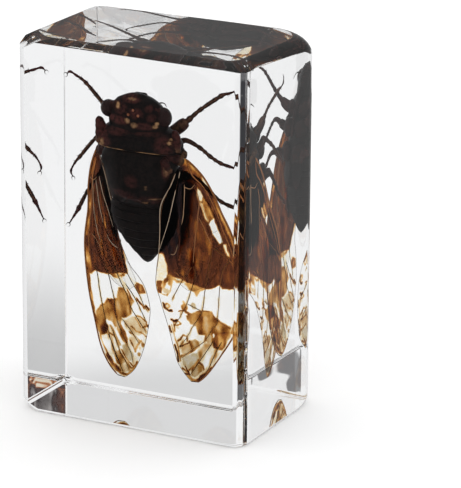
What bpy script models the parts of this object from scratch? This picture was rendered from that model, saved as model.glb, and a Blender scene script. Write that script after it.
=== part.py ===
"""Cicada cast in a clear resin block, standing on its short end.

The block's centre line is the Z axis and its base is Z = 0. The insect's back
faces -Y, its head is up. "Left" and "right" are -X and +X, as seen from -Y.
All the numbers in the tables are millimetres.
"""
import math

import bmesh
import bpy
from mathutils import Vector

MM = 0.001
MERGE = 1e-6
SMOOTH_ANGLE = math.radians(40)
PATH_STEPS = 12

# Resin block
BLOCK_WIDTH = 28.96
BLOCK_DEPTH = 19.05
BLOCK_HEIGHT = 43.94
EDGE_RADIUS = 1.2
BACK_RIGHT_RADIUS = 2.8
EDGE_SEGMENTS = 4
SHARP_ANGLE = math.radians(50)
PARTING_Y = 1.5
PARTING_GAP = 0.3

# Room between the insect's own pieces, and between the insect and the resin
PIECE_GAP = 0.3
POCKET_GAP = 0.45
WING_ROOM_ROWS = 16
WING_ROOM_MARGIN = 1.0
WING_ROOM_DEPTH = 2.6
WING_ROOM_BEHIND = 0.6

# Body, along a line from the crown of the head to the tip of the abdomen
CROWN = (-1.75, -0.5, 37.9)
TAIL_TIP = (-1.35, 2.6, 17.6)
BODY_LENGTH = 20.5
BODY_SIDES = 20
ROOM_SIDES = 14
WAIST_AT = 13.0
ABDOMEN_SEGMENTS = 7
JOINT_PINCH = 0.94

# (distance from the crown, half width, height of the back, depth of the belly)
FOREBODY = [
    (0.0, 0.0, 0.0, 0.0),
    (0.25, 1.4, 0.7, 0.8),
    (0.8, 2.3, 1.3, 1.5),
    (1.6, 3.1, 1.8, 2.1),
    (2.6, 3.5, 2.0, 2.3),
    (3.3, 3.4, 2.2, 2.4),
    (4.0, 4.3, 2.7, 2.8),
    (5.2, 4.8, 3.1, 3.3),
    (6.5, 4.8, 3.3, 3.6),
    (6.8, 4.5, 3.2, 3.7),
    (8.5, 4.6, 3.5, 3.8),
    (10.3, 4.5, 3.5, 3.8),
    (11.6, 4.3, 3.2, 3.7),
    (12.5, 4.1, 2.7, 3.5),
]
ABDOMEN = [
    (WAIST_AT, 4.1, 2.5, 3.3),
    (14.5, 4.2, 2.6, 3.2),
    (15.9, 3.9, 2.5, 3.0),
    (17.4, 3.0, 2.0, 2.5),
    (18.7, 2.0, 1.4, 1.8),
    (19.6, 1.1, 0.9, 1.1),
    (20.3, 0.5, 0.4, 0.5),
]

# Pronotal collar, a flattened ring whose side lobes stand out behind the eyes
COLLAR_AT = 5.0
COLLAR_HALF = (5.75, 2.5, 2.0)
COLLAR_DOWN = 0.2
COLLAR_MESH = (20, 10)

EYE_AT = 2.3
EYE_SIDE = 3.5
EYE_RADIUS = 1.15
EYE_MESH = (14, 8)

# Beak under the head: start and end, as distance from the crown and depth
BEAK_START = (2.4, 2.2)
BEAK_END = (9.0, 4.3)
BEAK_RADII = (0.72, 0.45, 0.225)

# Forewings: front edge and hind edge, each from the wing's root to its tip
WING_ROWS = 26
WING_LINES = (0.0, 0.05, 0.12, 0.25, 0.4, 0.56, 0.72, 0.87, 1.0)
WING_ROOM_LINES = (0.0, 0.5, 1.0)
MEMBRANE = 0.14
VEIN = 0.34
FOREWING_RIGHT_FRONT = [
    (3.9, 0.9, 30.9), (5.8, 1.1, 29.4), (7.3, 1.2, 27.4), (8.4, 1.6, 25.0),
    (9.4, 2.6, 22.0), (9.8, 3.4, 18.2), (9.8, 3.5, 14.6), (9.5, 3.6, 11.0),
    (7.8, 3.8, 7.6), (6.0, 3.8, 5.0), (4.9, 3.8, 3.9),
]
FOREWING_RIGHT_HIND = [
    (3.2, -0.7, 29.3), (2.6, -1.3, 27.4), (1.6, -1.1, 24.9), (0.8, 0.4, 19.7),
    (-0.1, 1.8, 15.7), (0.0, 3.0, 13.9), (0.3, 4.0, 12.2), (0.9, 4.7, 9.9),
    (1.4, 5.0, 7.5), (2.1, 4.9, 5.3), (3.8, 4.3, 3.7),
]
FOREWING_LEFT_FRONT = [
    (-7.6, 1.9, 30.6), (-8.7, 2.8, 28.4), (-9.4, 3.6, 25.6), (-9.7, 4.3, 22.6),
    (-10.3, 4.8, 19.4), (-10.4, 5.1, 16.6), (-10.0, 5.3, 12.6), (-9.3, 5.4, 9.3),
    (-8.3, 5.3, 5.7), (-6.9, 5.1, 3.5), (-6.0, 4.9, 2.8),
]
FOREWING_LEFT_HIND = [
    (-6.5, 0.6, 28.9), (-5.9, 0.7, 26.9), (-5.3, 1.0, 24.4), (-4.6, 1.4, 20.2),
    (-3.6, 2.6, 16.9), (-2.2, 3.2, 15.0), (-1.5, 3.6, 12.8), (-1.4, 3.8, 11.0),
    (-2.2, 4.2, 7.2), (-3.5, 4.6, 4.2), (-5.0, 4.8, 2.7),
]

# Hindwings, shorter and tucked behind the forewings
HIND_ROWS = 14
HIND_LINES = (0.0, 0.12, 0.3, 0.5, 0.75, 1.0)
HINDWING_RIGHT_FRONT = [
    (4.4, 1.9, 28.6), (6.3, 2.2, 26.2), (7.6, 2.7, 23.4), (8.0, 3.6, 20.4),
    (7.3, 4.0, 17.6), (5.6, 4.2, 15.6), (4.3, 4.1, 14.8),
]
HINDWING_RIGHT_HIND = [
    (3.4, 1.3, 27.6), (3.4, 1.3, 25.6), (3.3, 1.6, 22.6), (2.8, 2.2, 19.6),
    (2.2, 3.0, 16.9), (2.4, 3.6, 15.5), (3.4, 4.0, 14.7),
]
HINDWING_LEFT_FRONT = [
    (-7.7, 3.2, 28.0), (-8.7, 4.2, 25.2), (-9.2, 5.0, 22.0), (-9.3, 5.6, 19.0),
    (-8.5, 5.7, 16.2), (-6.9, 5.5, 14.2), (-5.5, 5.2, 13.5),
]
HINDWING_LEFT_HIND = [
    (-6.6, 2.2, 27.2), (-6.2, 2.2, 25.0), (-5.8, 2.5, 22.0), (-4.9, 3.0, 18.6),
    (-3.7, 3.8, 15.9), (-3.4, 4.3, 14.4), (-4.5, 4.9, 13.5),
]

# Legs: points along each leg and the leg's radius there, from hip to claw
TUBE_RESOLUTION = 1
LEGS = {
    "foreleg_left": [
        (-3.2, 2.6, 32.4, 0.75), (-5.0, 3.9, 33.2, 0.7), (-6.6, 4.5, 34.2, 0.45),
        (-7.9, 4.9, 35.2, 0.36), (-10.3, 5.5, 37.2, 0.3), (-11.7, 5.9, 37.85, 0.2),
        (-12.6, 6.2, 38.15, 0.2), (-13.1, 6.3, 37.8, 0.12),
    ],
    "foreleg_right": [
        (0.4, 2.4, 32.4, 0.75), (1.8, 3.0, 33.4, 0.7), (2.9, 3.1, 34.3, 0.5),
        (3.8, 3.15, 35.1, 0.34), (5.1, 3.2, 36.3, 0.32), (7.5, 3.8, 38.1, 0.34),
        (8.4, 3.8, 38.5, 0.18), (9.4, 3.7, 39.1, 0.18), (9.8, 3.5, 39.9, 0.12),
    ],
    "midleg_left": [
        (-3.6, 3.6, 30.2, 0.75), (-5.6, 4.5, 31.0, 0.6), (-7.4, 4.8, 31.6, 0.42),
        (-8.8, 4.9, 31.0, 0.32), (-11.1, 5.4, 28.4, 0.3), (-11.9, 5.8, 27.5, 0.18),
        (-12.5, 6.0, 26.4, 0.18), (-12.3, 6.2, 25.7, 0.12),
    ],
    "midleg_right": [
        (0.8, 3.4, 30.2, 0.75), (2.0, 3.6, 31.6, 0.6), (3.2, 3.3, 32.5, 0.42),
        (4.8, 4.1, 31.7, 0.34), (5.9, 4.6, 30.8, 0.32), (7.3, 4.4, 30.2, 0.3),
        (9.2, 3.8, 29.9, 0.2), (10.1, 3.5, 29.4, 0.12),
    ],
    "hindleg_left": [
        (-3.7, 4.4, 27.2, 0.75), (-5.6, 5.5, 27.9, 0.6), (-7.4, 6.0, 27.8, 0.42),
        (-8.9, 6.1, 26.4, 0.32), (-10.4, 6.1, 24.2, 0.3), (-11.6, 6.3, 22.0, 0.36),
        (-12.2, 6.2, 21.0, 0.18), (-12.8, 6.1, 20.0, 0.12),
    ],
    "hindleg_right": [
        (0.8, 4.4, 27.2, 0.75), (2.6, 4.9, 28.0, 0.6), (4.3, 4.7, 28.1, 0.42),
        (6.1, 4.6, 26.9, 0.32), (7.4, 4.5, 26.0, 0.3), (9.2, 4.4, 25.2, 0.34),
        (10.0, 4.3, 24.7, 0.18), (10.8, 4.2, 24.0, 0.12),
    ],
}

COLOURS = {
    "resin": ((0.97, 0.98, 0.99, 1.0), 0.03),
    "shell": ((0.025, 0.018, 0.016, 1.0), 0.35),
    "wing": ((0.38, 0.18, 0.06, 1.0), 0.4),
    "leg": ((0.05, 0.028, 0.018, 1.0), 0.4),
}


def clear_scene():
    for item in list(bpy.data.objects):
        bpy.data.objects.remove(item, do_unlink=True)


def make_collection(name):
    group = bpy.data.collections.new(name)
    bpy.context.scene.collection.children.link(group)
    return group


def make_material(name, colour, roughness):
    material = bpy.data.materials.new(name)
    material.use_nodes = True
    shader = material.node_tree.nodes["Principled BSDF"]
    shader.inputs["Base Color"].default_value = colour
    shader.inputs["Roughness"].default_value = roughness
    shader.inputs["Metallic"].default_value = 0.0
    return material


def make_object(name, bm, group, finish=None, smooth=True):
    bmesh.ops.recalc_face_normals(bm, faces=bm.faces)
    mesh = bpy.data.meshes.new(name)
    bm.to_mesh(mesh)
    bm.free()
    if smooth:
        mesh.shade_smooth()
        mesh.set_sharp_from_angle(angle=SMOOTH_ANGLE)
    item = bpy.data.objects.new(name, mesh)
    group.objects.link(item)
    if finish:
        mesh.materials.append(make_material(name, *COLOURS[finish]))
    else:
        item.hide_render = True
        item.display_type = "WIRE"
    return item


def add_boolean(item, other, operation):
    modifier = item.modifiers.new(operation.lower(), "BOOLEAN")
    modifier.operation = operation
    modifier.solver = "EXACT"
    modifier.object = other


def smooth_path(points, count):
    """Points evenly spaced along a smooth curve through the given points."""
    knots = [Vector(p) for p in points]
    knots = [2 * knots[0] - knots[1]] + knots + [2 * knots[-1] - knots[-2]]
    fine = []
    for p0, p1, p2, p3 in zip(knots, knots[1:], knots[2:], knots[3:]):
        for step in range(PATH_STEPS):
            t = step / PATH_STEPS
            fine.append(0.5 * (2 * p1 + (p2 - p0) * t + (2 * p0 - 5 * p1 + 4 * p2 - p3) * t ** 2
                               + (3 * p1 - p0 - 3 * p2 + p3) * t ** 3))
    fine.append(knots[-2])
    lengths = [0.0]
    for a, b in zip(fine, fine[1:]):
        lengths.append(lengths[-1] + (b - a).length)
    result = []
    index = 0
    for number in range(count):
        target = lengths[-1] * number / (count - 1)
        while index < len(fine) - 2 and lengths[index + 1] < target:
            index += 1
        part = (target - lengths[index]) / (lengths[index + 1] - lengths[index])
        result.append(fine[index].lerp(fine[index + 1], part))
    return result


def between(table, at):
    """A row of the table at a distance from the crown, by straight interpolation."""
    for low, high in zip(table, table[1:]):
        if at <= high[0]:
            part = (at - low[0]) / (high[0] - low[0])
            return tuple(a + (b - a) * part for a, b in zip(low, high))
    return table[-1]


def body_rings():
    """The body's sections: the forebody's, then a ridge and a joint for each segment."""
    rings = list(FOREBODY)
    last = ABDOMEN[-1][0]
    for number in range(ABDOMEN_SEGMENTS):
        start = WAIST_AT + (last - WAIST_AT) * number / ABDOMEN_SEGMENTS
        end = WAIST_AT + (last - WAIST_AT) * (number + 1) / ABDOMEN_SEGMENTS
        at, wide, back, belly = between(ABDOMEN, start)
        rings.append((at, wide * JOINT_PINCH, back * JOINT_PINCH, belly * JOINT_PINCH))
        rings.append(between(ABDOMEN, start + 0.2 * (end - start)))
        rings.append(between(ABDOMEN, start + 0.85 * (end - start)))
    rings.append((BODY_LENGTH, 0.0, 0.0, 0.0))
    return rings


def body_point(at, side, down):
    """A place on the body: along it from the crown, to the right, and towards the belly."""
    line = Vector(TAIL_TIP) - Vector(CROWN)
    right = Vector((1.0, 0.0, 0.0))
    belly = line.cross(right).normalized()
    if belly.y < 0:
        belly.negate()
    return Vector(CROWN) + line * (at / BODY_LENGTH) + right * side + belly * down


def body_shell(rings, sides, grow):
    """A closed body whose rings follow the sections, made larger all round by grow."""
    bm = bmesh.new()
    bmesh.ops.create_uvsphere(bm, u_segments=sides, v_segments=len(rings) - 1, radius=1.0)
    last = len(rings) - 1
    for vert in bm.verts:
        ring = round(math.acos(max(-1.0, min(1.0, vert.co.z))) / math.pi * last)
        angle = math.atan2(vert.co.y, vert.co.x)
        at, wide, back, belly = rings[ring]
        if ring in (0, last):
            vert.co = body_point(at + (grow if ring else -grow), 0.0, 0.0) * MM
            continue
        height = (belly if math.sin(angle) > 0 else back) + grow
        vert.co = body_point(at, (wide + grow) * math.cos(angle), height * math.sin(angle)) * MM
    return bm


def ellipsoid(centre, half, sides, rows):
    bm = bmesh.new()
    bmesh.ops.create_uvsphere(bm, u_segments=sides, v_segments=rows, radius=1.0)
    bmesh.ops.scale(bm, vec=Vector(half) * MM, verts=bm.verts)
    bmesh.ops.translate(bm, vec=centre * MM, verts=bm.verts)
    return bm


def tube(name, points, grow=0.0):
    """A closed tapering tube through (x, y, z, radius) points, as a mesh."""
    curve = bpy.data.curves.new(name, "CURVE")
    curve.dimensions = "3D"
    curve.bevel_depth = MM
    curve.bevel_resolution = TUBE_RESOLUTION
    curve.use_fill_caps = True
    spline = curve.splines.new("POLY")
    spline.points.add(len(points) - 1)
    for target, (x, y, z, radius) in zip(spline.points, points):
        target.co = (x * MM, y * MM, z * MM, 1.0)
        target.radius = radius + grow
    item = bpy.data.objects.new(name, curve)
    bpy.context.scene.collection.objects.link(item)
    evaluated = item.evaluated_get(bpy.context.evaluated_depsgraph_get())
    mesh = bpy.data.meshes.new_from_object(evaluated)
    bpy.data.objects.remove(item, do_unlink=True)
    bpy.data.curves.remove(curve)
    bm = bmesh.new()
    bm.from_mesh(mesh)
    bmesh.ops.remove_doubles(bm, verts=bm.verts, dist=MERGE)
    bpy.data.meshes.remove(mesh)
    return bm


def wing_sheet(front, hind, rows, lines):
    """An open sheet between a wing's two edges, with a row of points along each line."""
    bm = bmesh.new()
    columns = len(lines) - 1
    bmesh.ops.create_grid(bm, x_segments=rows, y_segments=columns, size=1.0)
    front_edge = smooth_path(front, rows + 1)
    hind_edge = smooth_path(hind, rows + 1)
    column_of = {}
    for vert in bm.verts:
        row = round((vert.co.x + 1.0) / 2.0 * rows)
        column = round((vert.co.y + 1.0) / 2.0 * columns)
        column_of[vert.index] = column
        vert.co = front_edge[row].lerp(hind_edge[row], lines[column]) * MM
    return bm, column_of


def make_wing(name, edges, rows, lines, group, cutter):
    """A thin wing with its long veins standing out: every second line of points."""
    bm, column_of = wing_sheet(*edges, rows, lines)
    item = make_object(name, bm, group, "wing")
    veins = item.vertex_groups.new(name="veins")
    for index, column in column_of.items():
        veins.add([index], 1.0 if column % 2 == 0 else 0.0, "REPLACE")
    solid = item.modifiers.new("thickness", "SOLIDIFY")
    solid.thickness = VEIN * MM
    solid.offset = 0.0
    solid.vertex_group = veins.name
    solid.thickness_vertex_group = MEMBRANE / VEIN
    add_boolean(item, cutter, "DIFFERENCE")
    return item


def wing_room(name, edges, group):
    """Room for a forewing and the hindwing tucked behind it, as a thicker, wider sheet."""
    front_edge = smooth_path(edges[0], WING_ROOM_ROWS + 1)
    hind_edge = smooth_path(edges[1], WING_ROOM_ROWS + 1)
    wide_front = []
    wide_hind = []
    for a, b in zip(front_edge, hind_edge):
        across = (a - b).normalized() * WING_ROOM_MARGIN
        wide_front.append(a + across)
        wide_hind.append(b - across)
    for edge in (wide_front, wide_hind):
        edge[0] = edge[0] + (edge[0] - edge[1]).normalized() * WING_ROOM_MARGIN
        edge[-1] = edge[-1] + (edge[-1] - edge[-2]).normalized() * WING_ROOM_MARGIN
    bm, _ = wing_sheet(wide_front, wide_hind, WING_ROOM_ROWS, WING_ROOM_LINES)
    bmesh.ops.translate(bm, vec=(0.0, WING_ROOM_BEHIND * MM, 0.0), verts=bm.verts)
    item = make_object(name, bm, group, smooth=False)
    solid = item.modifiers.new("thickness", "SOLIDIFY")
    solid.thickness = WING_ROOM_DEPTH * MM
    solid.offset = 0.0
    return item


def block_half(name, low_y, high_y, group):
    """One half of the rounded block, cut at the parting plane."""
    bm = bmesh.new()
    bmesh.ops.create_cube(bm, size=1.0)
    size = Vector((BLOCK_WIDTH, BLOCK_DEPTH, BLOCK_HEIGHT)) * MM
    bmesh.ops.scale(bm, vec=size, verts=bm.verts)
    bmesh.ops.translate(bm, vec=(0.0, 0.0, size.z / 2), verts=bm.verts)

    def is_back_right(edge):
        return all(v.co.x > 0 and v.co.y > 0 for v in edge.verts)

    big = [edge for edge in bm.edges if is_back_right(edge)]
    bmesh.ops.bevel(bm, geom=big, offset=BACK_RIGHT_RADIUS * MM, segments=EDGE_SEGMENTS,
                    profile=0.5, affect="EDGES")
    sharp = [edge for edge in bm.edges if edge.calc_face_angle() > SHARP_ANGLE]
    bmesh.ops.bevel(bm, geom=sharp, offset=EDGE_RADIUS * MM, segments=EDGE_SEGMENTS,
                    profile=0.5, affect="EDGES")
    for level, outward in ((low_y, -1.0), (high_y, 1.0)):
        if abs(level) > BLOCK_DEPTH / 2:
            continue
        faces = bm.verts[:] + bm.edges[:] + bm.faces[:]
        cut = bmesh.ops.bisect_plane(bm, geom=faces, plane_co=(0.0, level * MM, 0.0),
                                     plane_no=(0.0, outward, 0.0), clear_outer=True)
        rim = [part for part in cut["geom_cut"] if isinstance(part, bmesh.types.BMEdge)]
        bmesh.ops.edgenet_fill(bm, edges=rim)
    return make_object(name, bm, group, "resin")


def body_helpers(group, grow, tag):
    """The forms that are joined to the body: collar, eyes and beak."""
    helpers = []
    collar = ellipsoid(body_point(COLLAR_AT, 0.0, COLLAR_DOWN),
                       [half + grow for half in COLLAR_HALF], *COLLAR_MESH)
    helpers.append(make_object("collar" + tag, collar, group))
    for side in (-1, 1):
        centre = body_point(EYE_AT, side * EYE_SIDE, 0.0)
        eye = ellipsoid(centre, [EYE_RADIUS + grow] * 3, *EYE_MESH)
        helpers.append(make_object("eye%s_%d" % (tag, (side + 1) // 2), eye, group))
    start = body_point(BEAK_START[0], 0.0, BEAK_START[1])
    end = body_point(BEAK_END[0], 0.0, BEAK_END[1])
    line = (start, start.lerp(end, 0.5), end)
    points = [(*place, radius) for place, radius in zip(line, BEAK_RADII)]
    helpers.append(make_object("beak" + tag, tube("beak", points, grow), group))
    return helpers


def make_body(name, group, helpers_group, finish, grow, tag):
    rings = body_rings() if finish else FOREBODY + ABDOMEN[1:] + [(BODY_LENGTH, 0.0, 0.0, 0.0)]
    sides = BODY_SIDES if finish else ROOM_SIDES
    item = make_object(name, body_shell(rings, sides, grow), group, finish)
    for helper in body_helpers(helpers_group, grow, tag):
        add_boolean(item, helper, "UNION")
    return item


def make_leg(name, points, group, cutter):
    item = make_object(name, tube(name, points), group, "leg")
    add_boolean(item, cutter, "DIFFERENCE")
    return item


def main():
    clear_scene()
    parts = make_collection("insect_in_resin_block")
    cutters = make_collection("cutters")

    make_body("body", parts, cutters, "shell", 0.0, "")
    near_body = make_body("near_body", cutters, cutters, None, PIECE_GAP, "_near")
    body_room = make_body("body_room", cutters, cutters, None, POCKET_GAP, "_room")

    forewings = {
        "forewing_left": (FOREWING_LEFT_FRONT, FOREWING_LEFT_HIND),
        "forewing_right": (FOREWING_RIGHT_FRONT, FOREWING_RIGHT_HIND),
    }
    hindwings = {
        "hindwing_left": (HINDWING_LEFT_FRONT, HINDWING_LEFT_HIND),
        "hindwing_right": (HINDWING_RIGHT_FRONT, HINDWING_RIGHT_HIND),
    }
    for name, edges in forewings.items():
        make_wing(name, edges, WING_ROWS, WING_LINES, parts, near_body)
    for name, edges in hindwings.items():
        make_wing(name, edges, HIND_ROWS, HIND_LINES, parts, near_body)
    for name, points in LEGS.items():
        make_leg(name, points, parts, near_body)

    rooms = [body_room]
    for name, edges in forewings.items():
        rooms.append(wing_room(name + "_room", edges, cutters))
    for name, points in LEGS.items():
        room = tube(name + "_room", points, POCKET_GAP)
        rooms.append(make_object(name + "_room", room, cutters, smooth=False))

    outside = BLOCK_DEPTH
    halves = [
        block_half("resin_front", -outside, PARTING_Y - PARTING_GAP / 2, parts),
        block_half("resin_back", PARTING_Y + PARTING_GAP / 2, outside, parts),
    ]
    for half in halves:
        for room in rooms:
            add_boolean(half, room, "DIFFERENCE")


main()
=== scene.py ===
import math

import bmesh
import bpy
import numpy as np
from mathutils import Matrix, Vector, noise


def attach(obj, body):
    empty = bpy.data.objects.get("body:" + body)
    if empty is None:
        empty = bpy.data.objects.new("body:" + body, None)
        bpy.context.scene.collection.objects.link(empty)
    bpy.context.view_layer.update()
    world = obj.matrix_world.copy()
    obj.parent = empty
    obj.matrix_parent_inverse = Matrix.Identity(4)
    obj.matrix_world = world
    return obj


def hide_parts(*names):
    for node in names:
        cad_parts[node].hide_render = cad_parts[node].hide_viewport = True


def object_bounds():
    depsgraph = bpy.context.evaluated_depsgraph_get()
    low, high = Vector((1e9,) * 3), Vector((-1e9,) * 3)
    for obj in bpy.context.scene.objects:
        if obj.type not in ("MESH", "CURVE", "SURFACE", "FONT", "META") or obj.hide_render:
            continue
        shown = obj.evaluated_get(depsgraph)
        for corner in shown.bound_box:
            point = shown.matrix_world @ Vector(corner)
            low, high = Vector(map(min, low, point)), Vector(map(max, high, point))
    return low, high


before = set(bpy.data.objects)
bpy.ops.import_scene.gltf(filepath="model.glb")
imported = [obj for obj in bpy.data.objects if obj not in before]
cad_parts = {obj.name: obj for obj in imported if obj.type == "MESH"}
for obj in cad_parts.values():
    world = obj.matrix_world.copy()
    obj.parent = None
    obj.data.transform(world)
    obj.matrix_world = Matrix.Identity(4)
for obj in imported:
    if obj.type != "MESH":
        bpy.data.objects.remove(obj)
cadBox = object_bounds()
mm = 0.001
# points nearer than this, in millimetres, become one
mergeGap = 0.0005


def newNode(tree, kind, values=(), links=(), **settings):
    # a node with its settings, its inputs' own values and the outputs that its inputs are linked to
    node = tree.nodes.new("ShaderNode" + kind)
    for name, value in settings.items():
        setattr(node, name, value)
    for socket, value in dict(values).items():
        node.inputs[socket].default_value = value
    for socket, source in dict(links).items():
        tree.links.new(source, node.inputs[socket])
    return node


def newMaterial(name, values):
    made = bpy.data.materials.new(name)
    made.use_nodes = True
    shader = made.node_tree.nodes["Principled BSDF"]
    for socket, value in values.items():
        shader.inputs[socket].default_value = value
    return made, made.node_tree, shader


def objectTexture(tree, kind, **values):
    # a texture that is fixed to the object
    place = newNode(tree, "TexCoord")
    return newNode(tree, kind, values, {"Vector": place.outputs["Object"]})


def readAttribute(tree, name):
    return newNode(tree, "Attribute", attribute_name=name).outputs["Fac"]


def toneRamp(tree, source, tones):
    # turns a value into the tones, each given with its place from 0 to 1
    ramp = newNode(tree, "ValToRGB", links={"Fac": source})
    band = ramp.color_ramp
    while len(band.elements) < len(tones):
        band.elements.new(0.5)
    for stop, (where, colour) in zip(band.elements, tones):
        stop.position = where
        stop.color = (*colour, 1.0)
    return ramp.outputs["Color"]


def mixColours(tree, factor, low, high, blend="MIX"):
    # low and high are colours, grey values or outputs of nodes
    mix = newNode(tree, "Mix", links={"Factor": factor}, data_type="RGBA", blend_type=blend)
    for socket, value in (("A", low), ("B", high)):
        if isinstance(value, bpy.types.NodeSocket):
            tree.links.new(value, mix.inputs[socket])
        else:
            colour = value if isinstance(value, tuple) else (value,) * 3
            mix.inputs[socket].default_value = (*colour, 1.0)
    return mix.outputs["Result"]


def addRelief(tree, shader, height, strength, distance):
    relief = newNode(tree, "Bump", {"Strength": strength, "Distance": distance}, {"Height": height})
    tree.links.new(relief.outputs["Normal"], shader.inputs["Normal"])


def newGroup(name, inputs, outputs):
    # a group of nodes that takes the named values; outputs gives each output's kind of socket
    group = bpy.data.node_groups.new(name, "ShaderNodeTree")
    for label in inputs:
        group.interface.new_socket(label, in_out="INPUT", socket_type="NodeSocketFloat")
    for label, kind in outputs.items():
        group.interface.new_socket(label, in_out="OUTPUT", socket_type="NodeSocket" + kind)
    return group, group.nodes.new("NodeGroupInput"), group.nodes.new("NodeGroupOutput")


def useGroup(tree, shader, group, inputs):
    # colours a material by the group, from the mesh's attributes that are named like its inputs
    colour = newNode(tree, "Group", node_tree=group)
    for label in inputs:
        tree.links.new(readAttribute(tree, label.lower()), colour.inputs[label])
    tree.links.new(colour.outputs["Color"], shader.inputs["Base Color"])
    return colour


def newPiece(name, bm, material, slot, *nodes):
    # positions are worked out in millimetres, and kept in metres
    bmesh.ops.remove_doubles(bm, verts=bm.verts, dist=mergeGap)
    bmesh.ops.recalc_face_normals(bm, faces=bm.faces)
    bmesh.ops.scale(bm, vec=(mm, mm, mm), verts=bm.verts)
    mesh = bpy.data.meshes.new(name)
    bm.to_mesh(mesh)
    bm.free()
    mesh.shade_smooth()
    mesh.materials.append(material)
    made = bpy.data.objects.new(name, mesh)
    bpy.context.scene.collection.objects.link(made)
    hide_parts(*nodes)
    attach(made, "root")
    return made


def shapeGrid(bm, across, along, place, layers=()):
    # a grid whose points are moved to place(u, v), each with u and v from 0 to 1
    rows = bmesh.ops.create_grid(bm, x_segments=across, y_segments=along, size=1.0)["verts"]
    for vert in rows:
        u, v = (vert.co.x + 1) / 2, (vert.co.y + 1) / 2
        vert.co, values = place(u, v)
        for layer, value in zip(layers, values):
            vert[layer] = value


def closeEnds(bm):
    # closes the open ends of tubes and shells, which lie inside their neighbours
    bmesh.ops.remove_doubles(bm, verts=bm.verts, dist=mergeGap)
    bmesh.ops.holes_fill(bm, edges=[edge for edge in bm.edges if edge.is_boundary])


def smoothPath(points, count, steps=12):
    # evenly spaced places on a smooth line through the points
    knots = [Vector(point) for point in points]
    knots = [2 * knots[0] - knots[1]] + knots + [2 * knots[-1] - knots[-2]]
    fine = []
    for before, start, end, after in zip(knots, knots[1:], knots[2:], knots[3:]):
        for step in range(steps):
            t = step / steps
            fine.append(0.5 * (2 * start + (end - before) * t
                               + (2 * before - 5 * start + 4 * end - after) * t ** 2
                               + (3 * start - before - 3 * end + after) * t ** 3))
    fine.append(knots[-2])
    lengths = [0.0]
    for start, end in zip(fine, fine[1:]):
        lengths.append(lengths[-1] + (end - start).length)
    spots = np.linspace(0, lengths[-1], count)
    columns = [np.interp(spots, lengths, [point[i] for point in fine]) for i in range(len(fine[0]))]
    return [Vector(row) for row in zip(*columns)]


def pathFrames(path):
    # one side and one up direction for each point, carried along without twist
    side = Vector((0, -1, 0))
    frames = []
    for i in range(len(path)):
        ahead = (path[min(i + 1, len(path) - 1)] - path[max(i - 1, 0)]).normalized()
        side = (side - ahead * side.dot(ahead)).normalized()
        frames.append((side, ahead.cross(side)))
    return frames


def sweepTube(bm, path, radii, sides, layers=(), values=None, flat=1.0):
    frames = pathFrames(path)
    last = len(path) - 1

    def place(u, v):
        i = min(last, max(0, round(v * last)))
        side, up = frames[i]
        angle = u * math.tau
        spot = path[i] + (side * math.cos(angle) * flat + up * math.sin(angle)) * radii[i]
        return spot, values(i / last, angle) if values else ()

    shapeGrid(bm, sides, last, place, layers)


def taper(count):
    # the shares of a tube's radius that round off both its ends
    cap = [1.0] * count
    for i, share in enumerate((0.0, 0.6, 0.85)):
        cap[i] = cap[count - 1 - i] = share
    return cap


def roundedTube(bm, points, rings, sides, radius, layers, values, flat=1.0):
    # a tube with rounded ends along a smooth line; radius(i) is the ring's
    radii = [share * radius(i) for i, share in enumerate(taper(rings))]
    sweepTube(bm, smoothPath(points, rings), radii, sides, layers, values, flat)


def makeResin():
    look = {"tint": (0.925, 0.93, 0.935, 1.0), "ior": 1.5, "ripple": 0.02, "rippleScale": 90.0,
            "rippleDepth": 1.0}
    made, tree, shader = newMaterial("clearResin", {
        "Base Color": look["tint"], "Roughness": 0.0, "IOR": look["ior"], "Transmission Weight": 1.0})
    wave = objectTexture(tree, "TexNoise", Scale=look["rippleScale"], Detail=0.0)
    addRelief(tree, shader, wave.outputs["Fac"], look["ripple"], look["rippleDepth"] * mm)
    return made


# the block's upright edges in turn: which way it faces along x and y, how wide it is worn at the
# foot, along its height and at the top, and how flat it is (1 is a flat cut, 2 a full round); the
# top's bevel beside it, as its inset along x and y, its drop and how flat it is; and how much
# further its corners at the top and at the foot are worn down
blockEdges = [
    {"name": "front left", "facing": (-1, -1), "widths": (2.4, 1.4, 2.6), "flat": 1.1,
     "topInset": (0.5, 2.1), "topDrop": 0.3, "topFlat": 1.2, "topWear": 1.0, "footWear": 0.9},
    {"name": "front right", "facing": (1, -1), "widths": (1.54, 1.54, 1.54), "flat": 1.25,
     "topInset": (2.1, 2.1), "topDrop": 0.62, "topFlat": 1.2, "topWear": 0.1, "footWear": 0.2,
     "cuts": ((0.0, 0.0), (0.52, 0.19), (1.04, 0.82), (1.2, 1.54))},
    {"name": "back right", "facing": (1, 1), "widths": (4.0, 2.8, 4.6), "flat": 2.0,
     "topInset": (1.6, 0.7), "topDrop": 1.5, "topFlat": 1.8, "topWear": 0.9, "footWear": 0.6},
    {"name": "back left", "facing": (-1, 1), "widths": (1.2, 0.12, 1.4), "flat": 1.6,
     "topInset": (0.5, 0.7), "topDrop": 0.2, "topFlat": 1.2, "topWear": 0.2, "footWear": 0.4},
]


def cutPoint(cuts, share, width):
    # a place on an edge of flat cuts, as shares of the edge's width along x and y
    spot = share * (len(cuts) - 1)
    i = min(len(cuts) - 2, int(spot))
    x = cuts[i][0] + (cuts[i + 1][0] - cuts[i][0]) * (spot - i)
    y = cuts[i][1] + (cuts[i + 1][1] - cuts[i][1]) * (spot - i)
    return 1 - (cuts[-1][0] - x) / width, 1 - y / width


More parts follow.
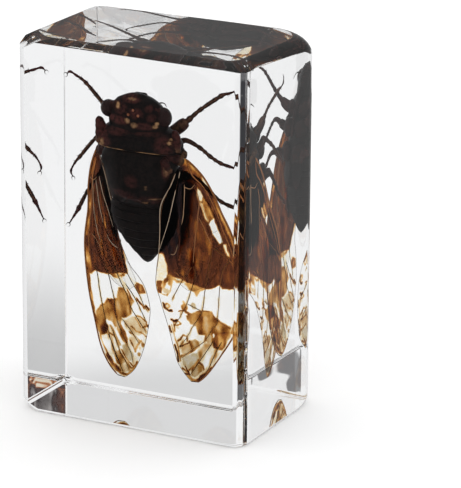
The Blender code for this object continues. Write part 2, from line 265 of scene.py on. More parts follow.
def makeBlock():
    look = {"footInset": 0.32, "footDrop": 0.4, "footFlat": 1.4, "wearReach": 1.3, "wearEven": 0.65,
            "bevelSteps": 14, "edgeSteps": 12}
    low, high = (corner / mm for corner in cadBox)
    centre = (low + high) / 2
    half = (high - low) / 2
    # each row: how far round the foot's bevel it is, or round the top's
    rows = [(name, math.pi / 2 * step / look["bevelSteps"]) for name in ("foot", "top")
            for step in range(look["bevelSteps"] + 1)]
    columns = []
    for edge in blockEdges:
        # the first and the last step lie on the faces beside the edge, where its wear begins
        for step in range(-1, look["edgeSteps"] + 2):
            share = min(1.0, max(0.0, step / look["edgeSteps"]))
            turn = math.pi / 2 * share
            dx, dy = math.cos(turn), math.sin(turn)
            if edge["facing"][0] * edge["facing"][1] < 0:
                dx, dy = dy, dx
            dx, dy = (max(0.0, value) ** (2 / edge["flat"]) for value in (dx, dy))
            if "cuts" in edge:
                dx, dy = cutPoint(edge["cuts"], share, edge["widths"][1])
            wear = look["wearEven"] + (1 - look["wearEven"]) * math.sin(2 * turn)
            reach = (0.0, 0.0)
            if step < 0 or step > look["edgeSteps"]:
                wear = 0.0
                reach = (0.0, look["wearReach"]) if dx > 0.5 else (look["wearReach"], 0.0)
            columns.append((edge, dx, dy, wear, reach))

    def place(u, v):
        edge, dx, dy, wear, reach = columns[round(u * len(columns)) % len(columns)]
        name, turn = rows[round(v * (len(rows) - 1))]
        footWidth, width, topWidth = edge["widths"]
        if name == "foot":
            power = 2 / look["footFlat"]
            inward, upward = (1 - max(0.0, way(turn)) ** power for way in (math.sin, math.cos))
            insets = (look["footInset"], look["footInset"])
            height = low.z + (look["footDrop"] + edge["footWear"] * wear) * upward
            width += (footWidth - width) * inward
        else:
            power = 2 / edge["topFlat"]
            inward, upward = (1 - max(0.0, way(turn)) ** power for way in (math.cos, math.sin))
            insets = edge["topInset"]
            height = high.z - (edge["topDrop"] + edge["topWear"] * wear) * upward
            width += (topWidth - width) * inward
        x = half.x - insets[0] * inward - width * (1 - dx) - reach[0]
        y = half.y - insets[1] * inward - width * (1 - dy) - reach[1]
        return Vector((centre.x + edge["facing"][0] * x, centre.y + edge["facing"][1] * y, height)), ()

    bm = bmesh.new()
    shapeGrid(bm, len(columns), len(rows) - 1, place)
    closeEnds(bm)
    block = newPiece("resinBlock", bm, makeResin(), "resin", "resin_front", "resin_back")
    even = block.modifiers.new("evenShading", "WEIGHTED_NORMAL")
    even.mode = "FACE_AREA"
    even.weight = 100
    print("block made")


# the wings' two edges from root to tip, in millimetres: the front one and the hind one
wingEdges = {
    "forewing_right": (
        [(3.9, 0.9, 30.9), (5.8, 1.1, 29.4), (7.3, 1.2, 27.4), (8.4, 1.6, 25), (9.4, 2.6, 22),
         (9.8, 3.4, 18.2), (9.8, 3.5, 14.6), (9.5, 3.6, 11), (7.8, 3.8, 7.6), (6, 3.8, 5), (4.9, 3.8, 3.9)],
        [(3.2, -0.7, 29.3), (2.6, -1.3, 27.4), (1.6, -1.1, 24.9), (0.8, 0.4, 19.7), (-0.1, 1.8, 15.7),
         (-0.1, 3, 13.9), (0.05, 4, 12.2), (0.6, 4.7, 9.9), (1.2, 5, 7.5), (2, 4.9, 5.3), (3.8, 4.3, 3.7)]),
    "forewing_left": (
        [(-7.6, 1.9, 30.6), (-8.7, 2.8, 28.4), (-9.4, 3.6, 25.6), (-9.7, 4.3, 22.6), (-10.3, 4.8, 19.4),
         (-10.4, 5.1, 16.6), (-10, 5.3, 12.6), (-9.3, 5.4, 9.3), (-8.3, 5.3, 5.7), (-6.9, 5.1, 3.5),
         (-6, 4.9, 2.8)],
        [(-6.5, 0.6, 28.9), (-5.9, 0.7, 26.9), (-5.3, 1, 24.4), (-4.6, 1.4, 20.2), (-3.6, 2.6, 16.9),
         (-2.2, 3.2, 15), (-1.5, 3.6, 12.8), (-1.4, 3.8, 11), (-2.2, 4.2, 7.2), (-3.5, 4.6, 4.2),
         (-5, 4.8, 2.7)]),
    "hindwing_right": (
        [(4.4, 1.9, 28.6), (6.3, 2.2, 26.2), (7.6, 2.7, 23.4), (8, 3.6, 20.4), (7.3, 4, 17.6),
         (5.6, 4.2, 15.6), (4.3, 4.1, 14.8)],
        [(3.4, 1.3, 27.6), (3.4, 1.3, 25.6), (3.3, 1.6, 22.6), (2.8, 2.2, 19.6), (2.2, 3, 16.9),
         (2.4, 3.6, 15.5), (3.4, 4, 14.7)]),
    "hindwing_left": (
        [(-7.7, 3.2, 28), (-8.7, 4.2, 25.2), (-9.2, 5, 22), (-9.3, 5.6, 19), (-8.5, 5.7, 16.2),
         (-6.9, 5.5, 14.2), (-5.5, 5.2, 13.5)],
        [(-6.6, 2.2, 27.2), (-6.2, 2.2, 25), (-5.8, 2.5, 22), (-4.9, 3, 18.6), (-3.7, 3.8, 15.9),
         (-3.4, 4.3, 14.4), (-4.5, 4.9, 13.5)]),
}

# the wings' markings: kind, name, stain, smoke, the width of a line or of an area's soft edge or a
# spot's radii and turn, and points as (x, z), all lengths in millimetres
rightMarks = [
    ("area", "dark base", 0.76, 0, 0.1, [(2.5, 32.1), (4, 31.8), (5.4, 31), (6.8, 29.8), (7.9, 27.9),
        (8.9, 25.8), (9.6, 23.6), (10.3, 21.3), (10.6, 19.3), (10.7, 16), (9, 15.8), (8, 15.7), (7.6, 16.1),
        (6.7, 15.5), (6, 15.4), (5.2, 15.5), (4.6, 15.7), (3.8, 15.9), (3.4, 16.1), (3.1, 16.2),
        (2.4, 16.4), (1.9, 16.5), (1.4, 16.5), (1.5, 17.6), (1.4, 18.8), (1.4, 19.5), (-0.2, 19.7),
        (0.3, 25.9), (1.4, 29.5)]),
    ("line", "dark beside stem", 0.84, 0, 1.1, [(4.7, 27.4), (4.5, 24.4), (3.6, 20.9), (2.6, 17.7)]),
    ("area", "black by the body", 1, 0, 0.9, [(1.7, 31.1), (4.1, 30.2), (4.7, 27.6), (4.4, 24.7),
        (3.4, 20.9), (2.7, 19.5), (1.4, 19.2), (-0.2, 19.2), (0.3, 25.9)]),
    ("line", "amber costa", 0.52, 0.1, 0.5, [(3.9, 30.8), (5, 30), (6, 29.1), (7, 28)]),
    ("line", "amber under costa", 0.72, 0, 0.4, [(4.5, 29.6), (5.5, 28.5), (6.6, 27.3)]),
    ("area", "cream notch", 0.2, 0, 0.12, [(6, 28.9), (6.5, 28.8), (7.1, 27.7), (6.6, 27.7), (6.2, 28.3)]),
    ("line", "gold edge", 0.5, 0, 0.42, [(7.8, 26.3), (8.4, 24.5), (9, 22.4), (9.4, 20.5), (9.6, 18.7)]),
    ("line", "dark radius", 0.8, 0, 0.22, [(6.2, 27.7), (7.5, 25.6), (8.5, 22.9), (9.1, 20.8),
        (9.5, 19.2)]),
    ("area", "first window", 0.13, 0, 0.1, [(5.6, 27.7), (6, 27.4), (6.3, 26.7), (6.1, 26.2), (5.8, 26.1),
        (5.6, 26.7)]),
    ("area", "gold bar", 0.47, 0, 0.12, [(6.1, 26.3), (6.3, 26.7), (7, 25.6), (7.4, 24.3), (7.1, 23.7),
        (6.5, 24.4)]),
    ("area", "pale bar", 0.22, 0, 0.12, [(5.8, 26.1), (6.2, 26), (6.6, 24.7), (6.9, 23.9), (6.7, 23.7),
        (6.2, 24.8)]),
    ("area", "clear window", 0.02, 0, 0.08, [(6.8, 23.6), (7.4, 24.3), (7.7, 23.3), (8.3, 21.4),
        (7.9, 21.1), (7.2, 22.2)]),
    ("area", "cream window", 0.16, 0, 0.08, [(8.3, 21.1), (8.6, 21.2), (8.9, 19.7), (8.6, 19.9),
        (8.4, 20.4)]),
    ("line", "amber heart", 0.68, 0, 0.4, [(5.5, 23.4), (5.5, 21.5), (5.4, 19.8), (5.2, 18.3)]),
    ("line", "orange heart", 0.67, 0, 0.3, [(4.3, 20.1), (4.2, 18.6), (3.3, 17.1)]),
    ("line", "amber cell", 0.7, 0, 0.45, [(6.3, 22.7), (6.6, 21.1), (6.2, 19.4)]),
    ("area", "cream by the hind edge", 0.14, 0, 0.12, [(0.4, 19.2), (1.2, 19.3), (1.5, 18.3), (1.5, 17.2),
        (1, 16), (0, 15.7), (0.1, 17.4)]),
    ("area", "brown corner", 0.74, 0, 0.08, [(0, 15.7), (0.8, 15.8), (0.7, 15.1), (0.3, 14.1),
        (-0.1, 14.1)]),
    ("line", "amber loop", 0.5, 0, 0.2, [(1.6, 16.4), (1.1, 15.8), (0.7, 15)]),
    ("line", "amber fringe", 0.42, 0, 0.28, [(1.6, 16.5), (1.8, 16.1), (1.6, 15.5)]),
    ("line", "fringe under cream", 0.4, 0, 0.16, [(1.9, 16.4), (2.5, 15.9), (3.2, 16)]),
    ("line", "pale loop rim", 0.42, 0.1, 0.08, [(1.8, 15.4), (1.5, 14.6), (1, 13.9), (0.4, 14)]),
    ("spot", "pale loop", 0.24, 0.2, (0.45, 0.4, 0), [(1, 14.5)]),
    ("area", "amber triangle", 0.38, 0, 0.1, [(3.4, 15.9), (4.6, 15.7), (5.8, 15.3), (5.2, 15), (4.7, 14.3),
        (4.4, 14.9), (3.9, 15.1)]),
    ("spot", "ring one", 0.4, 0.1, (0.4, 0.36, 0), [(0.8, 12.5)]),
    ("spot", "ring one heart", 0.14, 0.1, (0.17, 0.14, 0), [(0.8, 12.5)]),
    ("spot", "star", 0.5, 0, (0.42, 0.42, 0), [(3, 12.6)]),
    ("line", "star arm", 0.55, 0, 0.16, [(3, 13.3), (3.1, 12.1), (3.9, 11.7)]),
    ("line", "star shade", 0.75, 0, 0.06, [(2.3, 12), (3.1, 12.2), (3.7, 11.6), (4.2, 11.7)]),
    ("spot", "olive spot", 0.22, 0.5, (0.34, 0.42, 0), [(4.2, 13)]),
    ("area", "band", 0.46, 0.42, 0.1, [(3.1, 11.6), (4.2, 12.2), (5, 12.5), (6.5, 12.6), (6.9, 12.1),
        (7.5, 11.7), (8.1, 11.5), (8.9, 11.2), (8.8, 10.1), (7.9, 8.2), (6.8, 8.3), (6.6, 8.9), (5.6, 9),
        (5.6, 9.6), (4.7, 9.6), (4.4, 10.6), (3.6, 10.7)]),
    ("line", "band top rim", 0.66, 0.2, 0.07, [(4.7, 12.4), (5.5, 12.6), (6.5, 12.6), (6.9, 12.1),
        (7.6, 11.6), (8.8, 11.1)]),
    ("area", "band red heart", 0.55, 0.1, 0.15, [(7, 10), (8.6, 10.6), (7.9, 8.3), (6.8, 8.5)]),
    ("spot", "band olive", 0.3, 0.6, (0.3, 0.55, -0.2), [(6.1, 9.3)]),
    ("spot", "band pale", 0.38, 0.3, (0.3, 0.4, 0.2), [(5.7, 11.6)]),
    ("spot", "band pale two", 0.36, 0.3, (0.25, 0.35, 0.3), [(7.3, 10.8)]),
    ("spot", "white fleck", 0.06, 0, (0.12, 0.28, 0), [(6.7, 9.8)]),
    ("line", "ring two rim", 0.55, 0.2, 0.09, [(1.4, 10.5), (2, 10.8), (2.4, 10.5), (1.9, 10.2),
        (1.5, 10.3), (1.5, 9.4)]),
    ("spot", "ring two heart", 0.14, 0.2, (0.22, 0.22, 0), [(1.9, 9.9)]),
    ("line", "edge dash three", 0.85, 0, 0.12, [(2.9, 4.5), (3.5, 4.6)]),
    ("line", "edge tan", 0.36, 0.2, 0.09, [(1.1, 10.1), (1.4, 8.9), (1.8, 7.7), (2, 6.7), (2.2, 5.9)]),
    ("line", "ring three", 0.48, 0.4, 0.1, [(1.9, 8.2), (2.6, 9.1), (3.1, 9), (3.2, 8.5)]),
    ("line", "olive tail", 0.3, 0.75, 0.14, [(3.5, 7.4), (2.8, 6.6), (2.3, 6.4)]),
    ("area", "cell one", 0.2, 0.3, 0.12, [(2.2, 7.6), (3.8, 8.3), (4.4, 8.2), (3.9, 7.3), (2.5, 6.6)]),
    ("area", "olive patch", 0.37, 0.7, 0.14, [(3.4, 8.5), (4.2, 8.9), (4.7, 8.7), (4.8, 8.2), (4.1, 7.6),
        (3.7, 7.7)]),
    ("area", "olive haze", 0.3, 0.5, 0.25, [(4.6, 7.4), (5.4, 8.5), (6.4, 9), (6.6, 8.6), (5.8, 7.9),
        (5.2, 7), (4.8, 6.4)]),
    ("area", "grey patch", 0.12, 0.75, 0.12, [(2.4, 6.2), (3.5, 6.9), (4.6, 7.3), (4.7, 6.6), (4.2, 5.7),
        (3.2, 5), (2.6, 5.4)]),
    ("area", "grey patch two", 0.26, 0.7, 0.12, [(3.7, 5), (4.2, 5.7), (4.9, 6), (5.3, 5.8), (5.3, 5.2),
        (4.3, 4.3), (3.8, 4.4)]),
    ("line", "grey patch rim", 0.55, 0.5, 0.1, [(3.9, 5.1), (4.5, 5.9), (4.8, 6.2), (5.3, 5.9),
        (5.5, 5.4)]),
    ("line", "cell rim one", 0.5, 0.4, 0.09, [(2.1, 7.6), (3.4, 8.3), (3.5, 8.6)]),
    ("line", "cell rim two", 0.46, 0.4, 0.1, [(2.3, 6.5), (3.1, 6.9), (3.9, 7.3), (4.5, 8)]),
    ("line", "cell rim three", 0.42, 0.5, 0.12, [(2.5, 5), (3.2, 4.8), (4.1, 5.6), (4.7, 6.5)]),
    ("line", "hind dash one", 0.95, 0, 0.13, [(0.3, 12.7), (0.4, 12.2), (0.9, 11.9), (1.3, 12)]),
    ("line", "hind dash two", 0.9, 0, 0.11, [(1.1, 10.8), (1.5, 10.7), (1.9, 10.9)]),
    ("line", "hind dash three", 0.92, 0, 0.12, [(0.8, 9.9), (1, 9.2)]),
    ("line", "hind dash four", 0.92, 0, 0.12, [(1.4, 7.7), (1.7, 6.9), (1.9, 5.8)]),
    ("line", "edge border", 0.56, 0.1, 0.13, [(9.5, 15.9), (9.5, 14), (9.3, 12), (9, 10.5)]),
    ("line", "edge cream", 0.16, 0, 0.12, [(9.2, 15.6), (9.3, 14), (9.1, 12.1)]),
    ("line", "patch shade", 0.72, 0.3, 0.09, [(2.9, 5.3), (3.4, 4.8), (3.6, 4.4)]),
    ("line", "tip border", 0.66, 0, 0.17, [(9.4, 10.5), (8.8, 9.1), (8, 7.8), (6.9, 6.1)]),
    ("line", "tip border wide", 0.62, 0, 0.34, [(6.6, 5.7), (5.8, 4.8), (4.8, 4.1)]),
    ("line", "tip cream", 0.14, 0, 0.1, [(7.5, 7.9), (6.4, 6.3), (5.2, 4.9), (4.3, 4.2)]),
    ("line", "tip end", 0.4, 0.2, 0.2, [(3.3, 4.3), (4.1, 3.9), (4.9, 3.9)]),
]
leftMarks = [
    ("area", "dark base", 0.8, 0, 0.1, [(-9.4, 30.3), (-7.1, 30.7), (-5.3, 26), (-4.5, 21.5), (-4.2, 20.1),
        (-4.4, 18.5), (-4.2, 16.4), (-4.2, 15.6), (-5.2, 15.5), (-6, 15.3), (-7.4, 15), (-7.9, 15),
        (-8.8, 15.1), (-9.6, 14.8), (-11.2, 14.6), (-11, 18.5), (-10.5, 22.7), (-9.9, 26.5)]),
    ("area", "dark inside", 0.87, 0, 0.7, [(-7.9, 30.6), (-7.1, 30.7), (-5.9, 27.6), (-5.5, 24.6),
        (-4.7, 21.7), (-3.9, 20.2), (-4.4, 18), (-5.5, 18.6), (-6.5, 20.6), (-7.4, 24), (-8, 27.6)]),
    ("area", "black by the body", 1, 0, 0.35, [(-7.1, 30.7), (-5.9, 27.6), (-5.5, 24.6), (-4.7, 21.7),
        (-4.3, 20.6), (-5.3, 20.4), (-6.5, 23.8), (-7.3, 27.6)]),
    ("line", "amber costa", 0.58, 0, 0.26, [(-8.7, 28.9), (-9, 28.1), (-9.1, 27)]),
    ("line", "amber second", 0.64, 0, 0.16, [(-8, 29.1), (-8.4, 28), (-8.7, 27.1)]),
    ("line", "rust edge", 0.66, 0, 0.28, [(-9.3, 25.1), (-9.3, 24), (-9.1, 23.3)]),
    ("line", "gold edge", 0.55, 0, 0.25, [(-9.3, 23.2), (-9.5, 21.9), (-9.7, 20.8), (-10.1, 19.5)]),
    ("line", "brown streak one", 0.66, 0, 0.14, [(-8.6, 25.5), (-8.6, 23.4), (-8.3, 21.2)]),
    ("line", "brown streak two", 0.68, 0, 0.16, [(-7.6, 25), (-7.1, 22.8), (-6.9, 21)]),
    ("line", "rust streak", 0.69, 0, 0.36, [(-8.6, 20.1), (-7.8, 18.7), (-7.3, 17.1), (-6.9, 15.6)]),
    ("line", "gold streak", 0.58, 0, 0.22, [(-8.1, 19.8), (-7.8, 19.1)]),
    ("line", "gold corner", 0.55, 0, 0.42, [(-10.1, 17.5), (-9.9, 16.3), (-9.7, 15.1)]),
    ("line", "red streak", 0.74, 0, 0.3, [(-6.8, 20.1), (-6.2, 18.3), (-6.1, 16.4)]),
    ("spot", "amber fringe", 0.4, 0, (0.75, 0.34, 0), [(-5.8, 15)]),
    ("line", "amber fringe two", 0.52, 0, 0.14, [(-6.6, 15.1), (-5.8, 14.9), (-4.8, 15.4)]),
    ("line", "fringe cream", 0.18, 0, 0.16, [(-5.4, 14.9), (-4.9, 14.2), (-4.7, 13.8)]),
    ("line", "costal border", 0.54, 0, 0.17, [(-10, 14.8), (-9.8, 13.1), (-9.5, 11.5), (-9.3, 9.9),
        (-8.9, 8.6)]),
    ("line", "costal lower", 0.5, 0, 0.12, [(-8.9, 8.6), (-8.3, 6.9), (-8, 6), (-7.3, 5)]),
    ("area", "band", 0.47, 0.46, 0.1, [(-9, 10.2), (-8.5, 10.7), (-7.9, 11.1), (-7.3, 12), (-6.4, 12.1),
        (-6, 12.3), (-5.7, 13.6), (-4.9, 13.7), (-4.3, 12.8), (-3.6, 12.4), (-4, 11.7), (-4, 10.7),
        (-4.6, 10.2), (-5.4, 10), (-5.6, 9.2), (-5.1, 8.6), (-4.6, 7.7), (-4.7, 7), (-5.2, 7), (-6.1, 8.4),
        (-6.8, 9.3), (-7.6, 9.4), (-7.4, 8.4), (-7.5, 7.6), (-8.4, 7.3), (-8.9, 8.3)]),
    ("line", "band rim", 0.62, 0.2, 0.08, [(-8.9, 10.1), (-8.4, 10.9), (-7.8, 11.2), (-7.3, 11.9),
        (-6.3, 12.1)]),
    ("spot", "band pale one", 0.4, 0.2, (0.28, 0.42, 0), [(-7, 11.1)]),
    ("spot", "band pale two", 0.4, 0.3, (0.22, 0.55, 0), [(-5.4, 12.9)]),
    ("spot", "band pale three", 0.38, 0.3, (0.2, 0.5, 0), [(-4.5, 11.2)]),
    ("line", "band shade", 0.64, 0, 0.12, [(-4.5, 13.6), (-4, 12.7), (-3.8, 12.4)]),
    ("line", "band shade two", 0.6, 0.1, 0.16, [(-6.5, 11.6), (-6.2, 10.3), (-6, 9.6)]),
    ("spot", "red spot", 0.66, 0, (0.36, 0.42, 0), [(-8.1, 8.2)]),
    ("line", "red spot side", 0.7, 0, 0.09, [(-7.4, 8.6), (-7.5, 7.8)]),
    ("spot", "white fleck", 0.1, 0, (0.1, 0.3, -0.1), [(-7.5, 9.2)]),
    ("spot", "white fleck two", 0.1, 0, (0.12, 0.24, -0.4), [(-6.2, 8.5)]),
    ("line", "olive streak", 0.34, 0.6, 0.15, [(-7, 8.7), (-6.3, 7.6), (-5.7, 6.6)]),
    ("line", "brown diagonal", 0.54, 0.1, 0.2, [(-5.6, 8.8), (-5.1, 8.1), (-4.8, 7.1)]),
    ("line", "border foot", 0.62, 0, 0.26, [(-7.4, 4.9), (-6.7, 4), (-5.8, 3.5)]),
    ("area", "side haze", 0.2, 0.3, 0.2, [(-5.1, 9.7), (-3.9, 10.4), (-2.8, 10.5), (-2, 9.9), (-2, 8.9),
        (-3, 8.2), (-4.1, 8.3), (-4.8, 8.8)]),
    ("line", "side cell", 0.46, 0.4, 0.09, [(-4.1, 9.1), (-3.3, 8.7), (-2.4, 8.5), (-2, 8.3)]),
    ("area", "cream pane", 0.17, 0.2, 0.12, [(-4.3, 7.9), (-3.6, 7.8), (-3, 6.9), (-3.5, 6.4), (-4.1, 6.8),
        (-4.5, 7.5)]),
    ("line", "pane side", 0.44, 0.5, 0.12, [(-7.1, 7.8), (-6.4, 7.4), (-5.9, 6.5), (-5.8, 5.5)]),
    ("area", "olive foot", 0.36, 0.6, 0.12, [(-6.5, 5.6), (-5.8, 5.8), (-5.3, 5.4), (-4.9, 4.7), (-5.5, 4),
        (-6.1, 4.2), (-6.4, 4.7)]),
    ("line", "foot shade", 0.56, 0.4, 0.1, [(-5.8, 5.7), (-5.2, 5.1), (-4.6, 4.4)]),
    ("area", "foot pale", 0.22, 0.35, 0.12, [(-6, 3.8), (-5.2, 4.4), (-4.4, 4.1), (-4.5, 3.5),
        (-5.4, 3.2)]),
    ("area", "grey patch", 0.14, 0.7, 0.12, [(-5.5, 6.5), (-4.8, 6.9), (-4.2, 6.2), (-3.8, 5.6),
        (-4.1, 4.9), (-4.7, 4.9), (-5.2, 5.6)]),
    ("line", "foot rim", 0.5, 0.45, 0.1, [(-5.5, 6), (-5.1, 5.5), (-4.5, 4.7), (-3.9, 4.3), (-3.6, 4.5)]),
    ("line", "tip rim", 0.42, 0.4, 0.15, [(-7, 3.9), (-6.4, 3.5), (-5.6, 3.1), (-4.6, 3.1), (-3.9, 3.8),
        (-3.3, 4.9)]),
    ("line", "tip olive", 0.4, 0.5, 0.14, [(-4.7, 4.4), (-4.2, 4), (-3.7, 4.1)]),
    ("line", "inner brown ring", 0.5, 0.2, 0.12, [(-2.7, 7.6), (-3.2, 7), (-3.6, 6.1)]),
    ("spot", "inner brown spot", 0.42, 0.5, (0.2, 0.3, 0), [(-2.5, 7.2)]),
    ("spot", "inner spot two", 0.4, 0.6, (0.22, 0.26, 0), [(-3.1, 5.9)]),
    ("spot", "inner pale", 0.16, 0, (0.16, 0.2, 0), [(-2.9, 6.7)]),
    ("line", "low cell one", 0.46, 0.4, 0.08, [(-4.4, 8.4), (-4, 8.3), (-3.3, 7.9), (-2.8, 7.5)]),
    ("line", "low cell two", 0.4, 0.4, 0.1, [(-4.2, 7.4), (-3.8, 6.7), (-3.6, 6.2)]),
    ("line", "ring side", 0.5, 0.3, 0.1, [(-3.3, 10.5), (-2.8, 10.6), (-2, 10.1), (-1.9, 9.6),
        (-2.5, 9.3)]),
    ("spot", "ring side dark", 0.8, 0.2, (0.16, 0.22, 0), [(-1.7, 9.6)]),
    ("line", "ring side arm", 0.42, 0.3, 0.08, [(-3.5, 10.3), (-2.8, 9.3)]),
    ("area", "claval spot", 0.66, 0, 0.08, [(-3.5, 14.8), (-2.3, 14.6), (-1.9, 13.6), (-2.8, 13.3),
        (-3.3, 14.1)]),
    ("spot", "claval red", 0.58, 0, (0.22, 0.3, -0.3), [(-2.6, 14.1)]),
    ("line", "claval spot two", 0.7, 0, 0.14, [(-3.2, 12.6), (-2.4, 12), (-2.2, 11.7)]),
    ("line", "claval spot three", 0.72, 0.2, 0.14, [(-2, 12), (-1.6, 11.7)]),
    ("line", "claval cream", 0.14, 0, 0.12, [(-3.9, 15.2), (-3.3, 14.6)]),
]
hindMarks = {
    "hindwing_right": [
        ("area", "dark root", 0.94, 0, 0.5, [(2, 29.5), (4.6, 28), (4.5, 24.5), (3.6, 21), (2.9, 19.6),
            (1.5, 19)]),
        ("line", "brown ray", 0.5, 0, 0.3, [(4.4, 19.5), (4.2, 17.5), (4, 16.6)]),
    ],
    "hindwing_left": [
        ("area", "dark root", 0.9, 0, 0.5, [(-5.3, 29), (-7.4, 29), (-7, 24.5), (-6.3, 20.5), (-5.6, 19.4),
            (-4.5, 20.5)]),
        ("line", "brown ray", 0.5, 0, 0.3, [(-6.6, 19.5), (-6, 17.5), (-5.4, 16.4)]),
    ],
}

# the wings' veins: name, radius in millimetres, tone from 0 to 2, and points as shares of the way
# from root to tip and from the front edge to the hind one
rightVeins = [
    ("radius", 0.085, 1, [(0.01, 0.04), (0.07, 0.23), (0.12, 0.14), (0.17, 0.1), (0.24, 0.08), (0.31, 0.09),
        (0.38, 0.07), (0.45, 0.04)]),
    ("stemA", 0.07, 2, [(0.02, 0.58), (0.04, 0.65), (0.12, 0.76), (0.23, 0.86), (0.34, 0.98), (0.36, 1)]),
    ("stemB", 0.065, 2, [(0, 0.88), (0.06, 0.98), (0.15, 1.03), (0.27, 1), (0.36, 1), (0.46, 1)]),
    ("stemC", 0.065, 1.6, [(0.02, 0.38), (0.11, 0.52), (0.2, 0.59), (0.24, 0.63), (0.38, 0.77),
        (0.38, 0.86)]),
    ("cross0", 0.062, 1.4, [(0.1, 0.54), (0.12, 0.41), (0.12, 0.35), (0.11, 0.25)]),
    ("medial", 0.062, 1.2, [(0.12, 0.28), (0.18, 0.29), (0.24, 0.38), (0.34, 0.5), (0.45, 0.54)]),
    ("medialL", 0.062, 0.4, [(0.45, 0.54), (0.51, 0.66), (0.62, 0.85)]),
    ("medialR", 0.062, 0.4, [(0.45, 0.54), (0.5, 0.51), (0.57, 0.58), (0.63, 0.65), (0.69, 0.77),
        (0.74, 0.9)]),
    ("radial", 0.062, 1.2, [(0.24, 0.38), (0.29, 0.34), (0.38, 0.28)]),
    ("radialL", 0.062, 0.5, [(0.38, 0.28), (0.46, 0.34), (0.52, 0.37), (0.58, 0.41), (0.66, 0.46),
        (0.73, 0.61), (0.79, 0.73), (0.84, 0.93)]),
    ("radialR", 0.062, 0.6, [(0.38, 0.28), (0.41, 0.19), (0.44, 0.1), (0.48, 0.17), (0.54, 0.21),
        (0.6, 0.23), (0.7, 0.26), (0.73, 0.32), (0.79, 0.41), (0.84, 0.64), (0.88, 0.87)]),
    ("node", 0.062, 1, [(0.44, 0.1), (0.48, 0.03)]),
    ("cubital", 0.062, 0.8, [(0.47, 0.77), (0.51, 0.66)]),
    ("apex1", 0.062, 0.1, [(0.78, 0.27), (0.81, 0.29), (0.89, 0.43), (0.97, 0.86)]),
    ("apex2", 0.062, 0.1, [(0.78, 0.12), (0.83, 0.14), (0.91, 0.11), (0.97, 0.12)]),
    ("crossX", 0.062, 0.1, [(0.63, 0.65), (0.66, 0.46)]),
]
leftVeins = [
    ("radius", 0.1, 1, [(0.04, 0.21), (0.14, 0.15), (0.24, 0.14), (0.38, 0.1), (0.49, 0.09)]),
    ("v1", 0.075, 2, [(0, 0.23), (0.03, 0.91), (0.14, 0.92), (0.23, 1), (0.28, 1.04)]),
    ("v2", 0.075, 2, [(0.1, 0.44), (0.17, 0.59), (0.23, 0.76), (0.29, 0.86)]),
    ("v3", 0.075, 2, [(0.13, 0.28), (0.26, 0.44), (0.36, 0.63), (0.38, 0.88)]),
    ("v4", 0.07, 1.9, [(0.14, 0.16), (0.27, 0.2), (0.36, 0.32), (0.43, 0.44)]),
    ("v5", 0.062, 1.3, [(0.38, 0.14), (0.41, 0.32), (0.49, 0.44)]),
    ("cross", 0.062, 1.4, [(0.15, 0.03), (0.15, 0.18), (0.12, 0.33)]),
    ("cell1", 0.062, 0.1, [(0.51, 0.16), (0.55, 0.19), (0.62, 0.19), (0.68, 0.2), (0.76, 0.22), (0.8, 0.25),
        (0.87, 0.32), (0.92, 0.42)]),
    ("cell2", 0.062, 0.1, [(0.48, 0.37), (0.55, 0.39), (0.6, 0.4), (0.64, 0.41), (0.73, 0.43), (0.8, 0.56),
        (0.86, 0.74), (0.91, 0.86)]),
    ("cell3", 0.062, 0.1, [(0.48, 0.55), (0.56, 0.58), (0.61, 0.64), (0.66, 0.68), (0.71, 0.82),
        (0.75, 0.97)]),
    ("claval", 0.062, 0.1, [(0.31, 1.04), (0.38, 0.91), (0.5, 0.78), (0.6, 0.86), (0.64, 0.9),
        (0.66, 0.96)]),
    ("claval2", 0.062, 0.1, [(0.56, 0.65), (0.6, 0.74), (0.65, 0.82), (0.71, 0.96)]),
    ("low1", 0.062, 0.1, [(0.72, 0.52), (0.76, 0.68), (0.81, 0.88)]),
    ("low2", 0.062, 0.1, [(0.78, 0.33), (0.86, 0.46), (0.91, 0.64), (0.95, 0.86)]),
    ("low3", 0.062, 0.1, [(0.8, 0.23), (0.86, 0.33), (0.93, 0.45), (0.98, 0.69)]),
]
hindVeins = [
    ("front", 0.025, 0.8, [(0, 0.04), (0.25, 0.03), (0.5, 0.03), (0.75, 0.04), (0.97, 0.1)]),
    ("ray one", 0.022, 0.8, [(0.02, 0.3), (0.3, 0.26), (0.6, 0.22), (0.9, 0.2)]),
    ("ray two", 0.022, 0.8, [(0.02, 0.45), (0.3, 0.42), (0.6, 0.4), (0.93, 0.4)]),
    ("ray three", 0.022, 0.8, [(0.02, 0.6), (0.3, 0.6), (0.6, 0.6), (0.93, 0.62)]),
    ("ray four", 0.022, 0.8, [(0.02, 0.75), (0.3, 0.78), (0.6, 0.8), (0.88, 0.82)]),
    ("cross one", 0.02, 0.8, [(0.42, 0.03), (0.45, 0.25), (0.5, 0.42)]),
    ("cross two", 0.02, 0.8, [(0.66, 0.22), (0.7, 0.41), (0.68, 0.6)]),
]


def lineGap(x, z, points):
    # how far each place is from the line through the points
    gap = np.full(x.shape, 1e9)
    for (ax, az), (bx, bz) in zip(points, points[1:]):
        dx, dz = bx - ax, bz - az
        t = np.clip(((x - ax) * dx + (z - az) * dz) / max(dx * dx + dz * dz, 1e-9), 0, 1)
        gap = np.minimum(gap, np.hypot(x - ax - t * dx, z - az - t * dz))
    return gap


def insideArea(x, z, points):
    inside = np.zeros(x.shape, bool)
    for (ax, az), (bx, bz) in zip(points, points[1:] + points[:1]):
        if az != bz:
            inside ^= ((az > z) != (bz > z)) & (x < (bx - ax) * (z - az) / (bz - az) + ax)
    return inside


